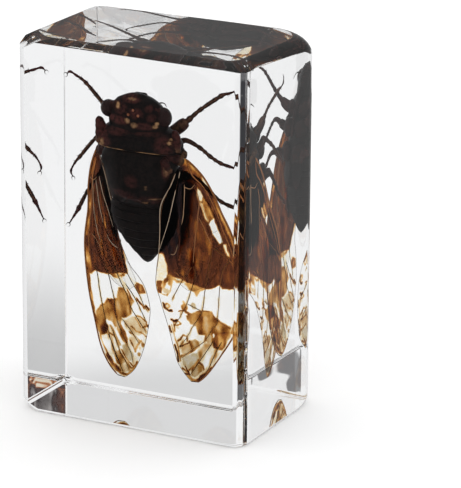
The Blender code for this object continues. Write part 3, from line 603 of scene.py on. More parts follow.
def paintMarks(x, z, marks, ground):
    # areas of a middle tone, from rimFrom to rimTo, get a darker rim
    look = {"lineCore": 1.5, "spotCore": 3.0, "spotFall": 2.5, "rimFrom": 0.3, "rimTo": 0.6,
            "rimStain": 0.35}
    stain = np.full(x.shape, ground[0], float)
    smoke = np.full(x.shape, ground[1], float)
    for kind, name, dark, grey, size, points in marks:
        if kind == "area":
            gap = lineGap(x, z, points + points[:1])
            gap = np.where(insideArea(x, z, points), -gap, gap)
            share = 0.5 - gap / size / 2
        elif kind == "line":
            share = look["lineCore"] - lineGap(x, z, points) / size
        else:
            cx, cz = points[0]
            wide, tall, turn = size
            across = (x - cx) * math.cos(turn) + (z - cz) * math.sin(turn)
            along = (z - cz) * math.cos(turn) - (x - cx) * math.sin(turn)
            share = look["spotCore"] - look["spotFall"] * np.hypot(across / wide, along / tall)
        share = np.clip(share, 0, 1)
        share = share * share * (3 - 2 * share)
        stain += (dark - stain) * share
        if kind == "area" and look["rimFrom"] < dark < look["rimTo"]:
            stain += look["rimStain"] * share * (1 - share)
        smoke += (grey - smoke) * share
    return stain, smoke


def makeMembrane():
    # stain goes from clear to black by the tones, and smoke greys it
    look = {"grainScale": 2600.0, "grainDetail": 3.0, "grainShift": 0.16, "ior": 1.03,
            "smoke": (0.46, 0.40, 0.30),
            "tones": [(0.0, (0.97, 0.97, 0.965)), (0.08, (0.96, 0.955, 0.93)),
                      (0.16, (0.96, 0.84, 0.58)), (0.38, (0.76, 0.40, 0.11)),
                      (0.54, (0.38, 0.135, 0.026)), (0.70, (0.16, 0.045, 0.016)),
                      (0.80, (0.085, 0.026, 0.013)), (1.0, (0.010, 0.007, 0.008))]}
    group, start, end = newGroup("membraneColour", ("Stain", "Smoke"), {"Color": "Color"})
    grain = objectTexture(group, "TexNoise", Scale=look["grainScale"], Detail=look["grainDetail"])
    shift = newNode(group, "Math", {1: look["grainShift"], 2: -look["grainShift"] / 2},
                    {0: grain.outputs["Fac"]}, operation="MULTIPLY_ADD")
    total = newNode(group, "Math", links={0: start.outputs["Stain"], 1: shift.outputs["Value"]})
    stained = toneRamp(group, total.outputs["Value"], look["tones"])
    smoky = mixColours(group, start.outputs["Smoke"], stained, look["smoke"], "MULTIPLY")
    group.links.new(smoky, end.inputs["Color"])
    made, tree, shader = newMaterial("wingMembrane", {
        "Roughness": 0.0, "IOR": look["ior"], "Transmission Weight": 1.0})
    useGroup(tree, shader, group, ("Stain", "Smoke"))
    return made


def makeVeinMaterial():
    look = {"roughness": 0.5, "ior": 1.1,
            "tones": [(0.0, (0.060, 0.034, 0.016)), (0.25, (0.15, 0.062, 0.022)),
                      (0.5, (0.36, 0.14, 0.05)), (0.75, (0.42, 0.24, 0.13)),
                      (1.0, (0.47, 0.35, 0.25))]}
    made, tree, shader = newMaterial("wingVein", {"Roughness": look["roughness"], "IOR": look["ior"]})
    colour = toneRamp(tree, readAttribute(tree, "tone"), look["tones"])
    tree.links.new(colour, shader.inputs["Base Color"])
    return made


def paintWing(wing, marks, veinPaths):
    # veinPaths are the veins that colour the clear half, as points in (x, z); hindwings have none
    look = {"warp": 0.10, "warpScales": (1.3, 3.1), "fineWarp": 0.5, "streak": 0.13,
            "streakScales": (2.6, 0.45), "streakGain": 3, "streakFrom": 0.7, "mottle": 0.3,
            "mottleScales": (1.1, 0.7), "mottleLayer": 3.0, "mottleNarrow": 3, "mottleSmoke": 3,
            "ground": (0.04, 0.0), "hindGround": (0.07, 0.1), "clearFrom": 15.2, "clearFade": 1.2,
            "smokyFrom": 10.5, "smokyFade": 2, "cellSmoke": 0.28, "cellStain": 0.1,
            "borderWidth": 0.17, "borderSpread": 0.7, "borderCore": 1.4, "borderStain": 0.32,
            "borderSmoke": 0.35, "breakFrom": (0.6, 0.5), "breakUp": 1.2}
    mesh = wing.data
    spots = np.empty(len(mesh.vertices) * 3)
    mesh.vertices.foreach_get("co", spots)
    spots = spots.reshape(-1, 3) / mm
    coarse, fine = look["warpScales"]
    warp = np.array([noise.noise_vector(Vector(spot) * coarse) for spot in spots])
    warp += look["fineWarp"] * np.array([noise.noise_vector(Vector(spot) * fine) for spot in spots])
    x = spots[:, 0] + warp[:, 0] * look["warp"]
    z = spots[:, 2] + warp[:, 2] * look["warp"]
    ground = look["ground"] if veinPaths else look["hindGround"]
    stain, smoke = paintMarks(x, z, marks, ground)

    def unevenness(scales, layer):
        return np.array([noise.noise(Vector((spot[0] * scales[0], layer, spot[2] * scales[1])))
                         for spot in spots])

    def middleTones():
        return np.clip(1 - abs(stain - 0.5) * look["mottleNarrow"], 0, 1)

    streaks = unevenness(look["streakScales"], 0.0)
    mottle = unevenness(look["mottleScales"], look["mottleLayer"])
    stain += streaks * look["streak"] * np.clip(stain * look["streakGain"] - look["streakFrom"], 0, 1)
    stain += mottle * look["mottle"] * middleTones()
    smoke += np.clip(mottle, 0, 1) * look["mottle"] * look["mottleSmoke"] * middleTones()
    if veinPaths:
        # stained borders along the veins of the clear half, and smoky cells near the tip
        outer = np.clip((look["clearFrom"] - z) / look["clearFade"], 0, 1)
        gap = np.full(x.shape, 1e9)
        for points in veinPaths:
            gap = np.minimum(gap, lineGap(x, z, points))
        cells = np.clip((look["smokyFrom"] - z) / look["smokyFade"], 0, 1)
        reach = look["borderWidth"] * (1 + look["borderSpread"] * cells)
        border = np.clip(look["borderCore"] - gap / reach, 0, 1) * outer
        border *= np.clip(look["breakFrom"][0] + look["breakUp"] * streaks, 0, 1)
        cells = cells * np.clip(look["breakFrom"][1] + look["breakUp"] * mottle, 0, 1)
        stain = np.maximum(stain, look["borderStain"] * border) + look["cellStain"] * cells
        smoke += look["cellSmoke"] * cells + look["borderSmoke"] * border
    for name, values in (("stain", stain), ("smoke", smoke)):
        layer = mesh.attributes.new(name, "FLOAT", "POINT")
        layer.data.foreach_set("value", np.clip(values, 0, 1).astype(np.float32))


def makeWings():
    look = {"seed": 1, "across": 92, "along": 230, "thickness": 0.05, "veinSides": 6, "veinThinning": 0.3,
            "costa": 0.13, "hindEdge": 0.04, "tipEdge": 0.06, "hindCosta": 0.03, "hindRim": 0.02}
    # noise_vector takes its offsets from the clock unless it is given a seed
    noise.seed_set(look["seed"])
    membrane = makeMembrane()
    veinLook = makeVeinMaterial()
    marks = {"forewing_right": rightMarks, "forewing_left": leftMarks, **hindMarks}
    veins = {"forewing_right": rightVeins, "forewing_left": leftVeins,
             "hindwing_right": hindVeins, "hindwing_left": hindVeins}
    for node, (frontEdge, hindEdge) in wingEdges.items():
        fore = node.startswith("fore")
        front = smoothPath(frontEdge, look["along"] + 1)
        hind = smoothPath(hindEdge, look["along"] + 1)

        def wingPoint(along, across, front=front, hind=hind):
            spot = along * look["along"]
            i = min(look["along"] - 1, max(0, int(spot)))
            left = front[i].lerp(front[i + 1], spot - i)
            return left.lerp(hind[i].lerp(hind[i + 1], spot - i), across)

        bm = bmesh.new()
        shapeGrid(bm, look["across"], look["along"], lambda u, v: (wingPoint(v, u), ()))
        wing = newPiece(node + "Membrane", bm, membrane, "wing", node)
        veinPaths = []
        if fore:
            for vein in veins[node]:
                spots = [wingPoint(*shares) for shares in vein[-1]]
                veinPaths.append([(spot.x, spot.z) for spot in spots])
        paintWing(wing, marks[node], veinPaths)
        skin = wing.modifiers.new("membraneThickness", "SOLIDIFY")
        skin.thickness = look["thickness"] * mm
        skin.offset = 0.0

        bm = bmesh.new()
        tone = bm.verts.layers.float.new("tone")
        widths = [look[name] for name in (("costa", "hindEdge", "tipEdge") if fore
                                          else ("hindCosta", "hindRim", "hindRim"))]
        rims = [("costa", widths[0], 0.8, [(t / 20, 0.008) for t in range(21)]),
                ("hind edge", widths[1], 0.3, [(t / 20, 0.995) for t in range(21)]),
                ("tip edge", widths[2], 0.3, [(0.998, t / 4) for t in range(5)])]
        for name, radius, shade, shares in veins[node] + rims:
            rings = max(12, len(shares) * 8)
            roundedTube(bm, [wingPoint(*share) for share in shares], rings, look["veinSides"],
                        lambda i: radius * (1.0 - look["veinThinning"] * i / rings), (tone,),
                        lambda along, angle: (min(1.0, shade / 2),))
        newPiece(node + "Veins", bm, veinLook, "wing", node)
    print("wings made")


# the body's own frame: crown to tail, with sides and belly square to it
crown = Vector((-1.75, -0.5, 37.9))
tailTip = Vector((-1.35, 2.6, 17.6))
bodyLength = 20.5
bodyAlong = (tailTip - crown) / bodyLength
bodyRight = Vector((1.0, 0.0, 0.0))
bodyDown = bodyAlong.cross(bodyRight).normalized()
if bodyDown.y < 0:
    bodyDown = -bodyDown


def bodyPoint(at, side, down):
    return crown + bodyAlong * at + bodyRight * side + bodyDown * down


def bodyPoints(*spots):
    return [bodyPoint(*spot) for spot in spots]


def bump(value, centre, width):
    return math.exp(-((value - centre) / width) ** 2)


def makeShell():
    # each stain has its colour, and how sharply the grain breaks it up into flecks; the Tan layer holds pale
    # marks and also painted highlights on the body and legs
    look = {"grainScale": 2300.0, "grainDetail": 5.0, "grainRoughness": 0.65, "roughness": 0.4,
            "ior": 1.12, "relief": 0.3, "reliefDepth": 0.05, "cover": 0.7,
            "ground": [(0.4, (0.0045, 0.004, 0.004)), (0.6, (0.010, 0.0065, 0.006))],
            "stainsAndHighlights": {"Rust": ((0.064, 0.019, 0.016), 4.0), "Tan": ((0.50, 0.28, 0.13), 3.0)}}
    group, start, end = newGroup("shellColour", look["stainsAndHighlights"], {"Color": "Color", "Height": "Float"})
    grain = objectTexture(group, "TexNoise", Scale=look["grainScale"], Detail=look["grainDetail"],
                          Roughness=look["grainRoughness"])
    last = toneRamp(group, grain.outputs["Fac"], look["ground"])
    for label, (colour, gain) in look["stainsAndHighlights"].items():
        lift = newNode(group, "Math", {1: gain, 2: look["cover"] - gain / 2},
                       {0: grain.outputs["Fac"]}, operation="MULTIPLY_ADD", use_clamp=True)
        flecks = newNode(group, "Math", links={0: start.outputs[label], 1: lift.outputs["Value"]},
                         operation="MULTIPLY")
        last = mixColours(group, flecks.outputs["Value"], last, colour)
    group.links.new(last, end.inputs["Color"])
    group.links.new(grain.outputs["Fac"], end.inputs["Height"])
    made, tree, shader = newMaterial("bodyShell", {"Roughness": look["roughness"], "IOR": look["ior"]})
    colour = useGroup(tree, shader, group, look["stainsAndHighlights"])
    addRelief(tree, shader, colour.outputs["Height"], look["relief"], look["reliefDepth"] * mm)
    return made, group


def newShellMesh():
    bm = bmesh.new()
    return bm, [bm.verts.layers.float.new(name) for name in ("rust", "tan")]


def bodyLoft(name, material, sections, relief, patches, across=112, along=120, bow=0.0):
    # sections: at, half width, back height, belly depth; patches: kind, at, side, half sizes, share
    look = {"patchFrom": -0.15, "patchCore": 2.2, "patchFall": 1.8}
    table = np.array(sections)
    first, final = table[0, 0], table[-1, 0]

    def place(u, v):
        at = first + (final - first) * v
        wide, back, belly = (np.interp(at, table[:, 0], table[:, i]) for i in (1, 2, 3))
        angle = u * math.tau
        side, up = math.cos(angle), math.sin(angle)
        swell = relief(at, side, up)
        deep = back if up > 0 else belly
        stainsAndHighlights = {"rust": 0.0, "tan": 0.0}
        if up > look["patchFrom"]:
            for kind, where, beside, long, broad, most in patches:
                gap = math.hypot((at - where) / long, (side * wide - beside) / broad)
                share = min(1.0, max(0.0, look["patchCore"] - look["patchFall"] * gap))
                stainsAndHighlights[kind] = max(stainsAndHighlights[kind], most * share)
        spot = bodyPoint(at + bow * side * side, side * (wide + swell), -up * (deep + swell))
        return spot, (stainsAndHighlights["rust"], stainsAndHighlights["tan"])

    bm, layers = newShellMesh()
    shapeGrid(bm, across, along, place, layers)
    closeEnds(bm)
    newPiece(name, bm, material, "shell", "body")


def smoothSections(sections):
    return [tuple(row) for row in smoothPath(sections, 60)]


# a shell's sections and patches are given in millimetres along and beside the body, as for bodyLoft
def makeHead(shell):
    def headRelief(at, side, up):
        lift = 0.0
        if up > 0:
            lift += 0.16 * bump(side, 0.0, 0.16) * bump(at, 2.0, 1.3)
            lift -= 0.10 * bump(abs(side), 0.42, 0.07) * bump(at, 2.2, 1.2)
            lift += 0.10 * bump(at, 0.75, 0.3)
        else:
            lift += 0.30 * bump(side, 0.0, 0.4) * bump(at, 2.2, 1.4)
        return lift

    # the tan marks at 2.85 to 3.3 are painted highlights along the groove between the head and the collar
    bodyLoft("headShell", shell, smoothSections([
        (0.0, 0.0, 0.0, 0.0), (0.05, 0.6, 0.3, 0.3), (0.2, 1.15, 0.6, 0.7), (0.6, 2.1, 1.15, 1.4),
        (1.1, 2.8, 1.5, 1.9), (1.5, 3.2, 1.7, 2.15), (2.3, 3.65, 1.85, 2.4), (3.2, 3.75, 1.95, 2.5),
        (4.0, 3.7, 2.1, 2.6), (4.4, 3.4, 2.1, 2.4)]), headRelief, [
            ("tan", 1.36, -2.11, 0.34, 0.26, 0.9), ("tan", 2.85, -0.8, 0.3, 0.26, 0.9),
            ("tan", 3.26, 0.07, 0.34, 0.36, 0.5), ("tan", 2.95, 2.76, 0.2, 0.22, 0.9),
            ("tan", 3.3, 2.55, 0.2, 0.3, 0.7), ("rust", 2.95, -2.1, 0.5, 1.5, 1.0),
            ("rust", 0.45, -0.5, 0.4, 1.2, 1.0), ("rust", 1.9, 0.3, 0.6, 0.9, 0.8),
            ("tan", 0.45, -0.3, 0.12, 0.5, 0.4), ("rust", 3.3, 1.2, 0.4, 1.5, 0.7),
            ("rust", 1.3, 1.9, 0.4, 0.5, 0.6), ("rust", 1.6, -1.7, 0.8, 0.9, 0.6),
            ("rust", 2.4, 2.2, 0.5, 0.6, 0.6)])


def makeThorax(shell):
    def collarRelief(at, side, up):
        lift = 0.35 * bump(abs(side), 1.0, 0.22) * bump(at, 4.9, 1.1)
        if up > 0:
            lift -= 0.14 * bump(at - 0.7 * abs(side), 4.55, 0.16)
            lift -= 0.10 * bump(side, 0.0, 0.06)
            lift += 0.12 * bump(at, 5.85, 0.14)
        return lift

    bodyLoft("collarShell", shell, [
        (3.1, 2.8, 1.3, 1.9), (3.25, 3.3, 1.6, 2.1), (3.45, 3.7, 1.8, 2.25), (3.7, 4.1, 1.95, 2.35),
        (4.0, 4.4, 2.12, 2.45), (4.4, 4.75, 2.35, 2.6), (5.0, 5.1, 2.7, 2.85), (5.5, 5.15, 2.95, 3.0),
        (5.9, 5.05, 3.15, 3.15), (6.0, 4.9, 3.2, 3.2), (6.08, 4.5, 3.1, 3.1), (6.1, 3.6, 2.7, 2.8)],
        collarRelief, [
            ("rust", 4.4, -4.3, 1.2, 0.8, 1.0), ("tan", 5.6, -4.4, 0.5, 0.45, 0.6),
            ("rust", 5.6, -3.9, 0.7, 0.9, 0.8), ("tan", 5.98, -3.5, 0.07, 0.9, 0.9),
            ("tan", 5.98, -1.9, 0.06, 0.9, 0.8), ("tan", 5.98, 1.9, 0.06, 1.3, 0.9),
            ("tan", 4.68, 4.08, 0.22, 0.16, 0.8), ("tan", 4.25, 4.2, 0.14, 0.14, 0.8),
            ("rust", 5.0, 3.6, 1.0, 1.0, 0.7), ("rust", 3.9, 1.0, 0.4, 2.2, 0.5),
            ("rust", 4.1, -2.2, 0.5, 1.4, 0.6), ("tan", 3.75, 0.2, 0.12, 0.6, 0.4)], bow=0.5)

    def thoraxRelief(at, side, up):
        lift = 0.0
        if up > 0:
            lift -= 0.10 * bump(abs(side) - 0.02 * at, 0.2, 0.03) * bump(at, 8.6, 1.4)
            lift += 0.28 * bump(abs(side), 0.42 * (at - 11.0) / 1.6, 0.07) * bump(at, 12.0, 0.8)
            lift += 0.22 * bump(at, 11.6, 0.3) * bump(side, 0.0, 0.35)
            lift += 0.35 * bump(abs(side), 0.93, 0.12) * bump(at, 8.0, 1.0)
        else:
            lift -= 0.16 * bump(at, 8.3, 0.14) + 0.16 * bump(at, 10.6, 0.14)
        return lift

    # the tan patches at 10.2, 11.6 and 12.05 are painted highlights on the ridges of the thorax's back
    bodyLoft("thoraxShell", shell, smoothSections([
        (5.9, 3.6, 2.4, 2.8), (6.3, 4.2, 3.0, 3.5), (7.4, 4.6, 3.35, 3.75), (9.0, 4.6, 3.5, 3.8),
        (10.6, 4.5, 3.5, 3.8), (11.8, 4.25, 3.2, 3.65), (12.7, 4.0, 2.7, 3.3), (13.2, 3.5, 2.2, 2.8)]),
        thoraxRelief, [
            ("tan", 10.2, 1.5, 0.25, 0.12, 0.3), ("tan", 12.05, 1.15, 0.12, 0.35, 0.5),
            ("tan", 11.6, 2.4, 0.1, 0.8, 0.35), ("rust", 7.9, 3.7, 1.3, 0.35, 1.0),
            ("tan", 8.1, 3.75, 0.8, 0.2, 0.3), ("rust", 9.6, -0.3, 0.8, 0.8, 0.5),
            ("rust", 11.4, -1.6, 0.5, 1.8, 0.5), ("rust", 11.8, 1.6, 0.5, 1.8, 0.5)])


def makeAbdomen(shell):
    def abdomenRelief(at, side, up):
        step = (at - 12.6) / 1.12
        ring = step - math.floor(step)
        lift = 0.16 * ring - 0.24 * max(0.0, ring - 0.86) / 0.14
        if up > 0:
            lift += 0.10 * bump(side, 0.0, 0.2)
        else:
            lift += 0.12 * bump(abs(side), 0.55, 0.1) - 0.1 * bump(side, 0.0, 0.25)
        return lift * min(1.0, (20.5 - at) / 2.5)

    bodyLoft("abdomenShell", shell, smoothSections([
        (12.4, 3.4, 2.0, 2.6), (13.2, 4.0, 2.45, 3.2), (14.5, 4.15, 2.6, 3.2), (15.9, 3.85, 2.5, 3.0),
        (17.4, 3.0, 2.0, 2.5), (18.7, 1.95, 1.4, 1.8), (19.6, 1.1, 0.9, 1.1), (20.2, 0.55, 0.45, 0.5),
        (20.5, 0.0, 0.0, 0.0)]), abdomenRelief, [], along=160)


def makeGloss(name, texture, output, tones, finish):
    made, tree, shader = newMaterial(name, finish)
    colour = toneRamp(tree, texture(tree).outputs[output], tones)
    tree.links.new(colour, shader.inputs["Base Color"])
    return made


def makeEyes():
    look = {"facetScale": 9000.0, "glintScale": 900.0,
            "eyeTones": [(0.0, (0.030, 0.014, 0.013)), (1.0, (0.010, 0.006, 0.006))],
            "ocellusTones": [(0.0, (0.20, 0.05, 0.02)), (1.0, (0.34, 0.12, 0.05))],
            "eyeFinish": {"Roughness": 0.25, "IOR": 1.15}, "ocellusFinish": {"Roughness": 0.2},
            "eyes": [((2.22, -3.68, -0.1), (1.0, 1.0, 1.15)), ((2.45, 3.28, -0.1), (1.15, 1.0, 1.15))],
            "ocelli": [(1.55, 0.0, -1.78), (2.1, -0.62, -1.9), (2.1, 0.62, -1.9)], "ocellusRadius": 0.17}
    made = makeGloss("insectEye", lambda tree: objectTexture(tree, "TexVoronoi", Scale=look["facetScale"]),
                     "Distance", look["eyeTones"], look["eyeFinish"])
    bm = bmesh.new()
    for (at, side, down), radii in look["eyes"]:
        ball = bmesh.ops.create_uvsphere(bm, u_segments=32, v_segments=20, radius=1.0)["verts"]
        for vert in ball:
            long, wide, deep = (value * radius for value, radius in zip(vert.co, radii))
            vert.co = bodyPoint(at + long, side + wide, down + deep)
    newPiece("eyes", bm, made, "shell", "body")

    made = makeGloss("ocellus", lambda tree: objectTexture(tree, "TexNoise", Scale=look["glintScale"]),
                     "Fac", look["ocellusTones"], look["ocellusFinish"])
    bm = bmesh.new()
    for spot in look["ocelli"]:
        dot = bmesh.ops.create_uvsphere(bm, u_segments=14, v_segments=10,
                                        radius=look["ocellusRadius"])["verts"]
        bmesh.ops.translate(bm, vec=bodyPoint(*spot), verts=dot)
    newPiece("ocelli", bm, made, "shell", "body")


def makeUnderside(shell):
    # the face, seen from behind: a swollen ridged shield, the beak and the bristle feelers
    bm, layers = newShellMesh()

    def facePlace(u, v):
        at = 0.5 + 3.9 * v
        wide = 1.35 * math.sin(math.pi * min(1.0, 0.08 + 0.92 * v)) ** 0.6 + 0.02
        angle = (u - 0.5) * math.pi
        rib = 0.07 * math.cos(v * math.tau * 9) * abs(math.sin(angle)) ** 0.5
        deep = 1.5 + 1.15 * math.sin(math.pi * v) ** 0.7 * math.cos(angle) + rib
        return bodyPoint(at, wide * math.sin(angle), deep), (0.25 * abs(math.sin(angle)), 0.0)

    shapeGrid(bm, 40, 120, facePlace, layers)
    face = newPiece("faceShield", bm, shell, "shell", "body")
    face.modifiers.new("shieldThickness", "SOLIDIFY").thickness = 0.12 * mm

    # each pair of hips: at, side, down, how far it reaches inwards and its radius
    hips = ((5.4, 2.4, 2.9, 1.3, 0.95), (7.6, 2.4, 3.5, 1.4, 1.05), (10.4, 2.3, 3.6, 1.5, 1.1))
    bm, layers = newShellMesh()
    beak = bodyPoints((3.3, 0.0, 2.5), (4.6, 0.0, 3.3), (6.2, 0.0, 3.95), (8.0, 0.0, 4.25),
                      (9.0, 0.0, 4.3))
    roundedTube(bm, beak, 60, 20,
                lambda i: 0.62 * (1 - 0.6 * i / 60) * (1 - 0.12 * (i in (20, 21, 40, 41))),
                layers, lambda along, angle: (0.5 * along, 0.0))
    for sign in (-1, 1):
        feeler = bodyPoints((1.6, sign * 1.9, 1.5), (1.5, sign * 2.3, 2.0), (1.7, sign * 2.6, 2.5),
                            (2.3, sign * 2.7, 3.0))
        roundedTube(bm, feeler, 24, 8, lambda i: 0.11 * (1 - 0.75 * i / 24), layers,
                    lambda along, angle: (0.3, 0.0))
        for at, side, down, reach, width in hips:
            hip = bodyPoints((at, sign * (side + 1.2), down - 0.8), (at + 0.2, sign * side, down + 0.2),
                             (at + 0.5, sign * (side - reach), down + 0.7))
            roundedTube(bm, hip, 24, 18, lambda i: width * (0.75 + 0.3 * math.sin(math.pi * i / 24)),
                        layers, lambda along, angle: (0.35 * along, 0.0), flat=0.8)
    newPiece("undersideParts", bm, shell, "shell", "body")


def makeHinges(shell):
    # plates that bridge the head to the eyes, the collar's side lobes, and the wings' hinges: each
    # one's radius at its start and end, how rusty it is, and its points
    lumps = ((0.75, 0.5, 0.5, bodyPoints((1.55, -1.9, -0.5), (1.75, -2.9, -0.35), (2.0, -3.9, -0.1))),
             (0.75, 0.5, 0.5, bodyPoints((1.65, 1.8, -0.5), (1.85, 2.7, -0.35), (2.2, 3.5, -0.1))),
             (0.5, 0.95, 0.9, bodyPoints((3.2, -5.0, -0.5), (4.1, -4.75, -0.6), (5.0, -4.65, -0.7),
                                         (5.8, -4.55, -0.7), (6.4, -4.3, -0.7))),
             (0.4, 0.75, 0.7, bodyPoints((3.7, 4.5, -0.4), (4.3, 4.8, -0.5), (5.0, 4.9, -0.6),
                                         (5.8, 4.7, -0.6), (6.3, 4.4, -0.6))),
             (0.9, 0.55, 0.5, [(-5.2, 0.4, 31.4), (-6.4, 0.9, 30.6), (-7.5, 1.7, 30.2)]),
             (0.8, 0.4, 0.3, [(-5.0, 0.2, 30.6), (-5.8, 0.3, 29.6), (-6.4, 0.6, 28.6)]),
             (0.8, 0.45, 0.3, [(-5.2, 1.4, 31.8), (-6.6, 1.8, 31.3), (-7.5, 2.2, 30.6)]),
             (0.9, 0.55, 0.4, [(1.8, -0.6, 31.6), (2.8, -0.1, 30.9), (3.9, 0.7, 30.4)]),
             (0.7, 0.3, 0.5, [(1.6, -1.2, 30.9), (2.2, -1.1, 30.0), (2.8, -0.7, 29.2)]),
             (0.8, 0.45, 0.3, [(2.0, 0.6, 32.2), (3.2, 0.8, 31.7), (4.1, 1.0, 30.9)]))
    rings = 20
    bm, layers = newShellMesh()
    for wide, narrow, stain, points in lumps:
        roundedTube(bm, points, rings, 16, lambda i: (wide + (narrow - wide) * i / (rings - 1))
                    * (1 + 0.05 * math.sin(i * 1.3)), layers,
                    lambda along, angle: (stain, 0.15 * bump(along, 0.8, 0.1)))
    newPiece("wingHinges", bm, shell, "shell", "body")


def makeCovers(shell):
    # the sound covers, side by side under the abdomen's first rings
    bm, layers = newShellMesh()
    for sign in (-1, 1):
        def coverPlace(u, v, sign=sign):
            at = 11.6 + 3.3 * v
            wide = 1.45 * math.sin(math.pi * (0.18 + 0.80 * v)) ** 0.7
            side = 1.75 + wide * (2 * u - 1)
            deep = 3.72 - 0.16 * side ** 2 * 0.35 + 0.12 * math.sin(math.pi * v)
            return bodyPoint(at, sign * side, deep), (0.4 * bump(v, 1.0, 0.2), 0.0)

        shapeGrid(bm, 20, 24, coverPlace, layers)
    covers = newPiece("soundCovers", bm, shell, "shell", "body")
    covers.modifiers.new("coverThickness", "SOLIDIFY").thickness = 0.1 * mm


def makeBody():
    shell, group = makeShell()
    for make in (makeHead, makeThorax, makeAbdomen):
        make(shell)
    makeEyes()
    for make in (makeUnderside, makeHinges, makeCovers):
        make(shell)
    print("body made")
    return group


# each leg from hip to claw: x, y, z and radius in millimetres
legPaths = {
    "foreleg_left": [(-3.2, 2.6, 32.4, 0.75), (-5.0, 3.9, 33.2, 0.7), (-6.6, 4.5, 34.2, 0.45),
                     (-7.9, 4.9, 35.2, 0.36), (-10.3, 5.5, 37.2, 0.3), (-11.7, 5.9, 37.85, 0.2),
                     (-12.6, 6.2, 38.15, 0.2), (-13.1, 6.3, 37.8, 0.12)],
    "foreleg_right": [(0.4, 2.4, 32.4, 0.75), (1.8, 3.0, 33.4, 0.7), (2.9, 3.1, 34.3, 0.7),
                      (3.8, 3.15, 35.1, 0.42), (5.1, 3.2, 36.3, 0.32), (7.5, 3.8, 38.1, 0.34),
                      (8.4, 3.8, 38.5, 0.18), (9.4, 3.7, 39.1, 0.18), (9.8, 3.5, 39.9, 0.12)],
    "midleg_left": [(-3.6, 3.6, 30.2, 0.75), (-5.6, 4.5, 31.0, 0.6), (-7.4, 4.8, 31.6, 0.42),
                    (-8.8, 4.9, 31.0, 0.32), (-11.1, 5.4, 28.4, 0.3), (-11.9, 5.8, 27.5, 0.18),
                    (-12.5, 6.0, 26.4, 0.18), (-12.3, 6.2, 25.7, 0.12)],
    "midleg_right": [(0.8, 3.4, 30.2, 0.75), (2.0, 3.6, 31.6, 0.6), (3.2, 3.3, 32.5, 0.42),
                     (4.8, 4.1, 31.7, 0.34), (5.9, 4.6, 30.8, 0.32), (7.3, 4.4, 30.2, 0.3),
                     (9.2, 3.8, 29.9, 0.2), (10.1, 3.5, 29.4, 0.12)],
    "hindleg_left": [(-3.7, 4.4, 27.2, 0.75), (-5.6, 5.5, 27.9, 0.6), (-7.4, 6.0, 27.8, 0.42),
                     (-8.9, 6.1, 26.4, 0.32), (-10.4, 6.1, 24.2, 0.3), (-11.6, 6.3, 22.0, 0.36),
                     (-12.2, 6.2, 21.0, 0.18), (-12.8, 6.1, 20.0, 0.12)],
    "hindleg_right": [(0.8, 4.4, 27.2, 0.75), (2.6, 4.9, 28.0, 0.6), (4.3, 4.7, 27.8, 0.42),
                      (6.1, 4.6, 26.55, 0.32), (7.4, 4.5, 25.7, 0.3), (9.2, 4.4, 25.1, 0.34),
                      (10.0, 4.3, 24.7, 0.18), (10.8, 4.2, 24.0, 0.12)],
}


def makeLegs(group):
    look = {"rings": 96, "sides": 16, "paintedHighlight": 0.12, "rust": 0.55, "thin": 0.74, "thickFrom": 0.55,
            "kneeSwell": 0.16, "kneeWaist": 0.20, "roughness": 0.4, "ior": 1.15,
            "spinesAt": (0.52, 0.82), "spineEvery": 7, "spineLength": 0.34, "spineRadius": 0.04,
            "clawLength": 0.5, "clawSpread": 0.256, "clawBend": 0.22, "clawRadius": 0.07}
    made, tree, shader = newMaterial("legShell", {"Roughness": look["roughness"], "IOR": look["ior"]})
    useGroup(tree, shader, group, ("Rust", "Tan"))
    for node, points in legPaths.items():
        bm, layers = newShellMesh()
        rows = smoothPath(points, look["rings"])
        path = [Vector(row[:3]) for row in rows]
        knots = [Vector(point[:3]) for point in points]
        cap = taper(look["rings"])
        radii = []
        for i, row in enumerate(rows):
            near = min((path[i] - knot).length for knot in knots[3:-1])
            slim = row[3] * (1.0 if row[3] > look["thickFrom"] else look["thin"])
            radii.append(slim * cap[i] * (1.0 + look["kneeSwell"] * bump(near, 0.0, 0.3)
                                          - look["kneeWaist"] * bump(near, 0.42, 0.16)))

        # the pale stripe on the side of each leg that faces the front (-y), put into the tan layer, is a
        # painted highlight
        def shade(along, angle):
            paintedHighlight = look["paintedHighlight"] * max(0.0, math.cos(angle)) ** 6 * (along < 0.82)
            return 0.5 * bump(along, 0.9, 0.14) + look["rust"], paintedHighlight

        sweepTube(bm, path, radii, look["sides"], layers, shade)
        frames = pathFrames(path)
        first, final = (int(look["rings"] * share) for share in look["spinesAt"])
        for i in range(first, final, look["spineEvery"]):
            ahead = (path[i + 1] - path[i]).normalized()
            for turn in (0.9, -0.9, 2.4):
                side, up = frames[i]
                out = side * math.cos(turn) + up * math.sin(turn)
                base = path[i] + out * radii[i] * 0.8
                spine = [base + (out * 0.8 + ahead * 0.6) * look["spineLength"] * t / 5
                         for t in range(6)]
                sweepTube(bm, spine, [look["spineRadius"] * (1 - t / 5.2) for t in range(6)], 6,
                          layers, lambda along, angle: (0.6, 0.0))
        ahead = (path[-1] - path[-3]).normalized()
        side, up = frames[-1]
        for sign in (-1, 1):
            claw = [path[-2] + ahead * look["clawLength"] * t / 6
                    + up * sign * look["clawSpread"] * math.sin(math.pi * t / 7)
                    + side * look["clawBend"] * (t / 6) ** 2 for t in range(7)]
            sweepTube(bm, claw, [look["clawRadius"] * (1 - t / 6.3) for t in range(7)], 8,
                      layers, lambda along, angle: (0.7, 0.0))
        closeEnds(bm)
        newPiece(node + "Shell", bm, made, "leg", node)
    print("legs made")


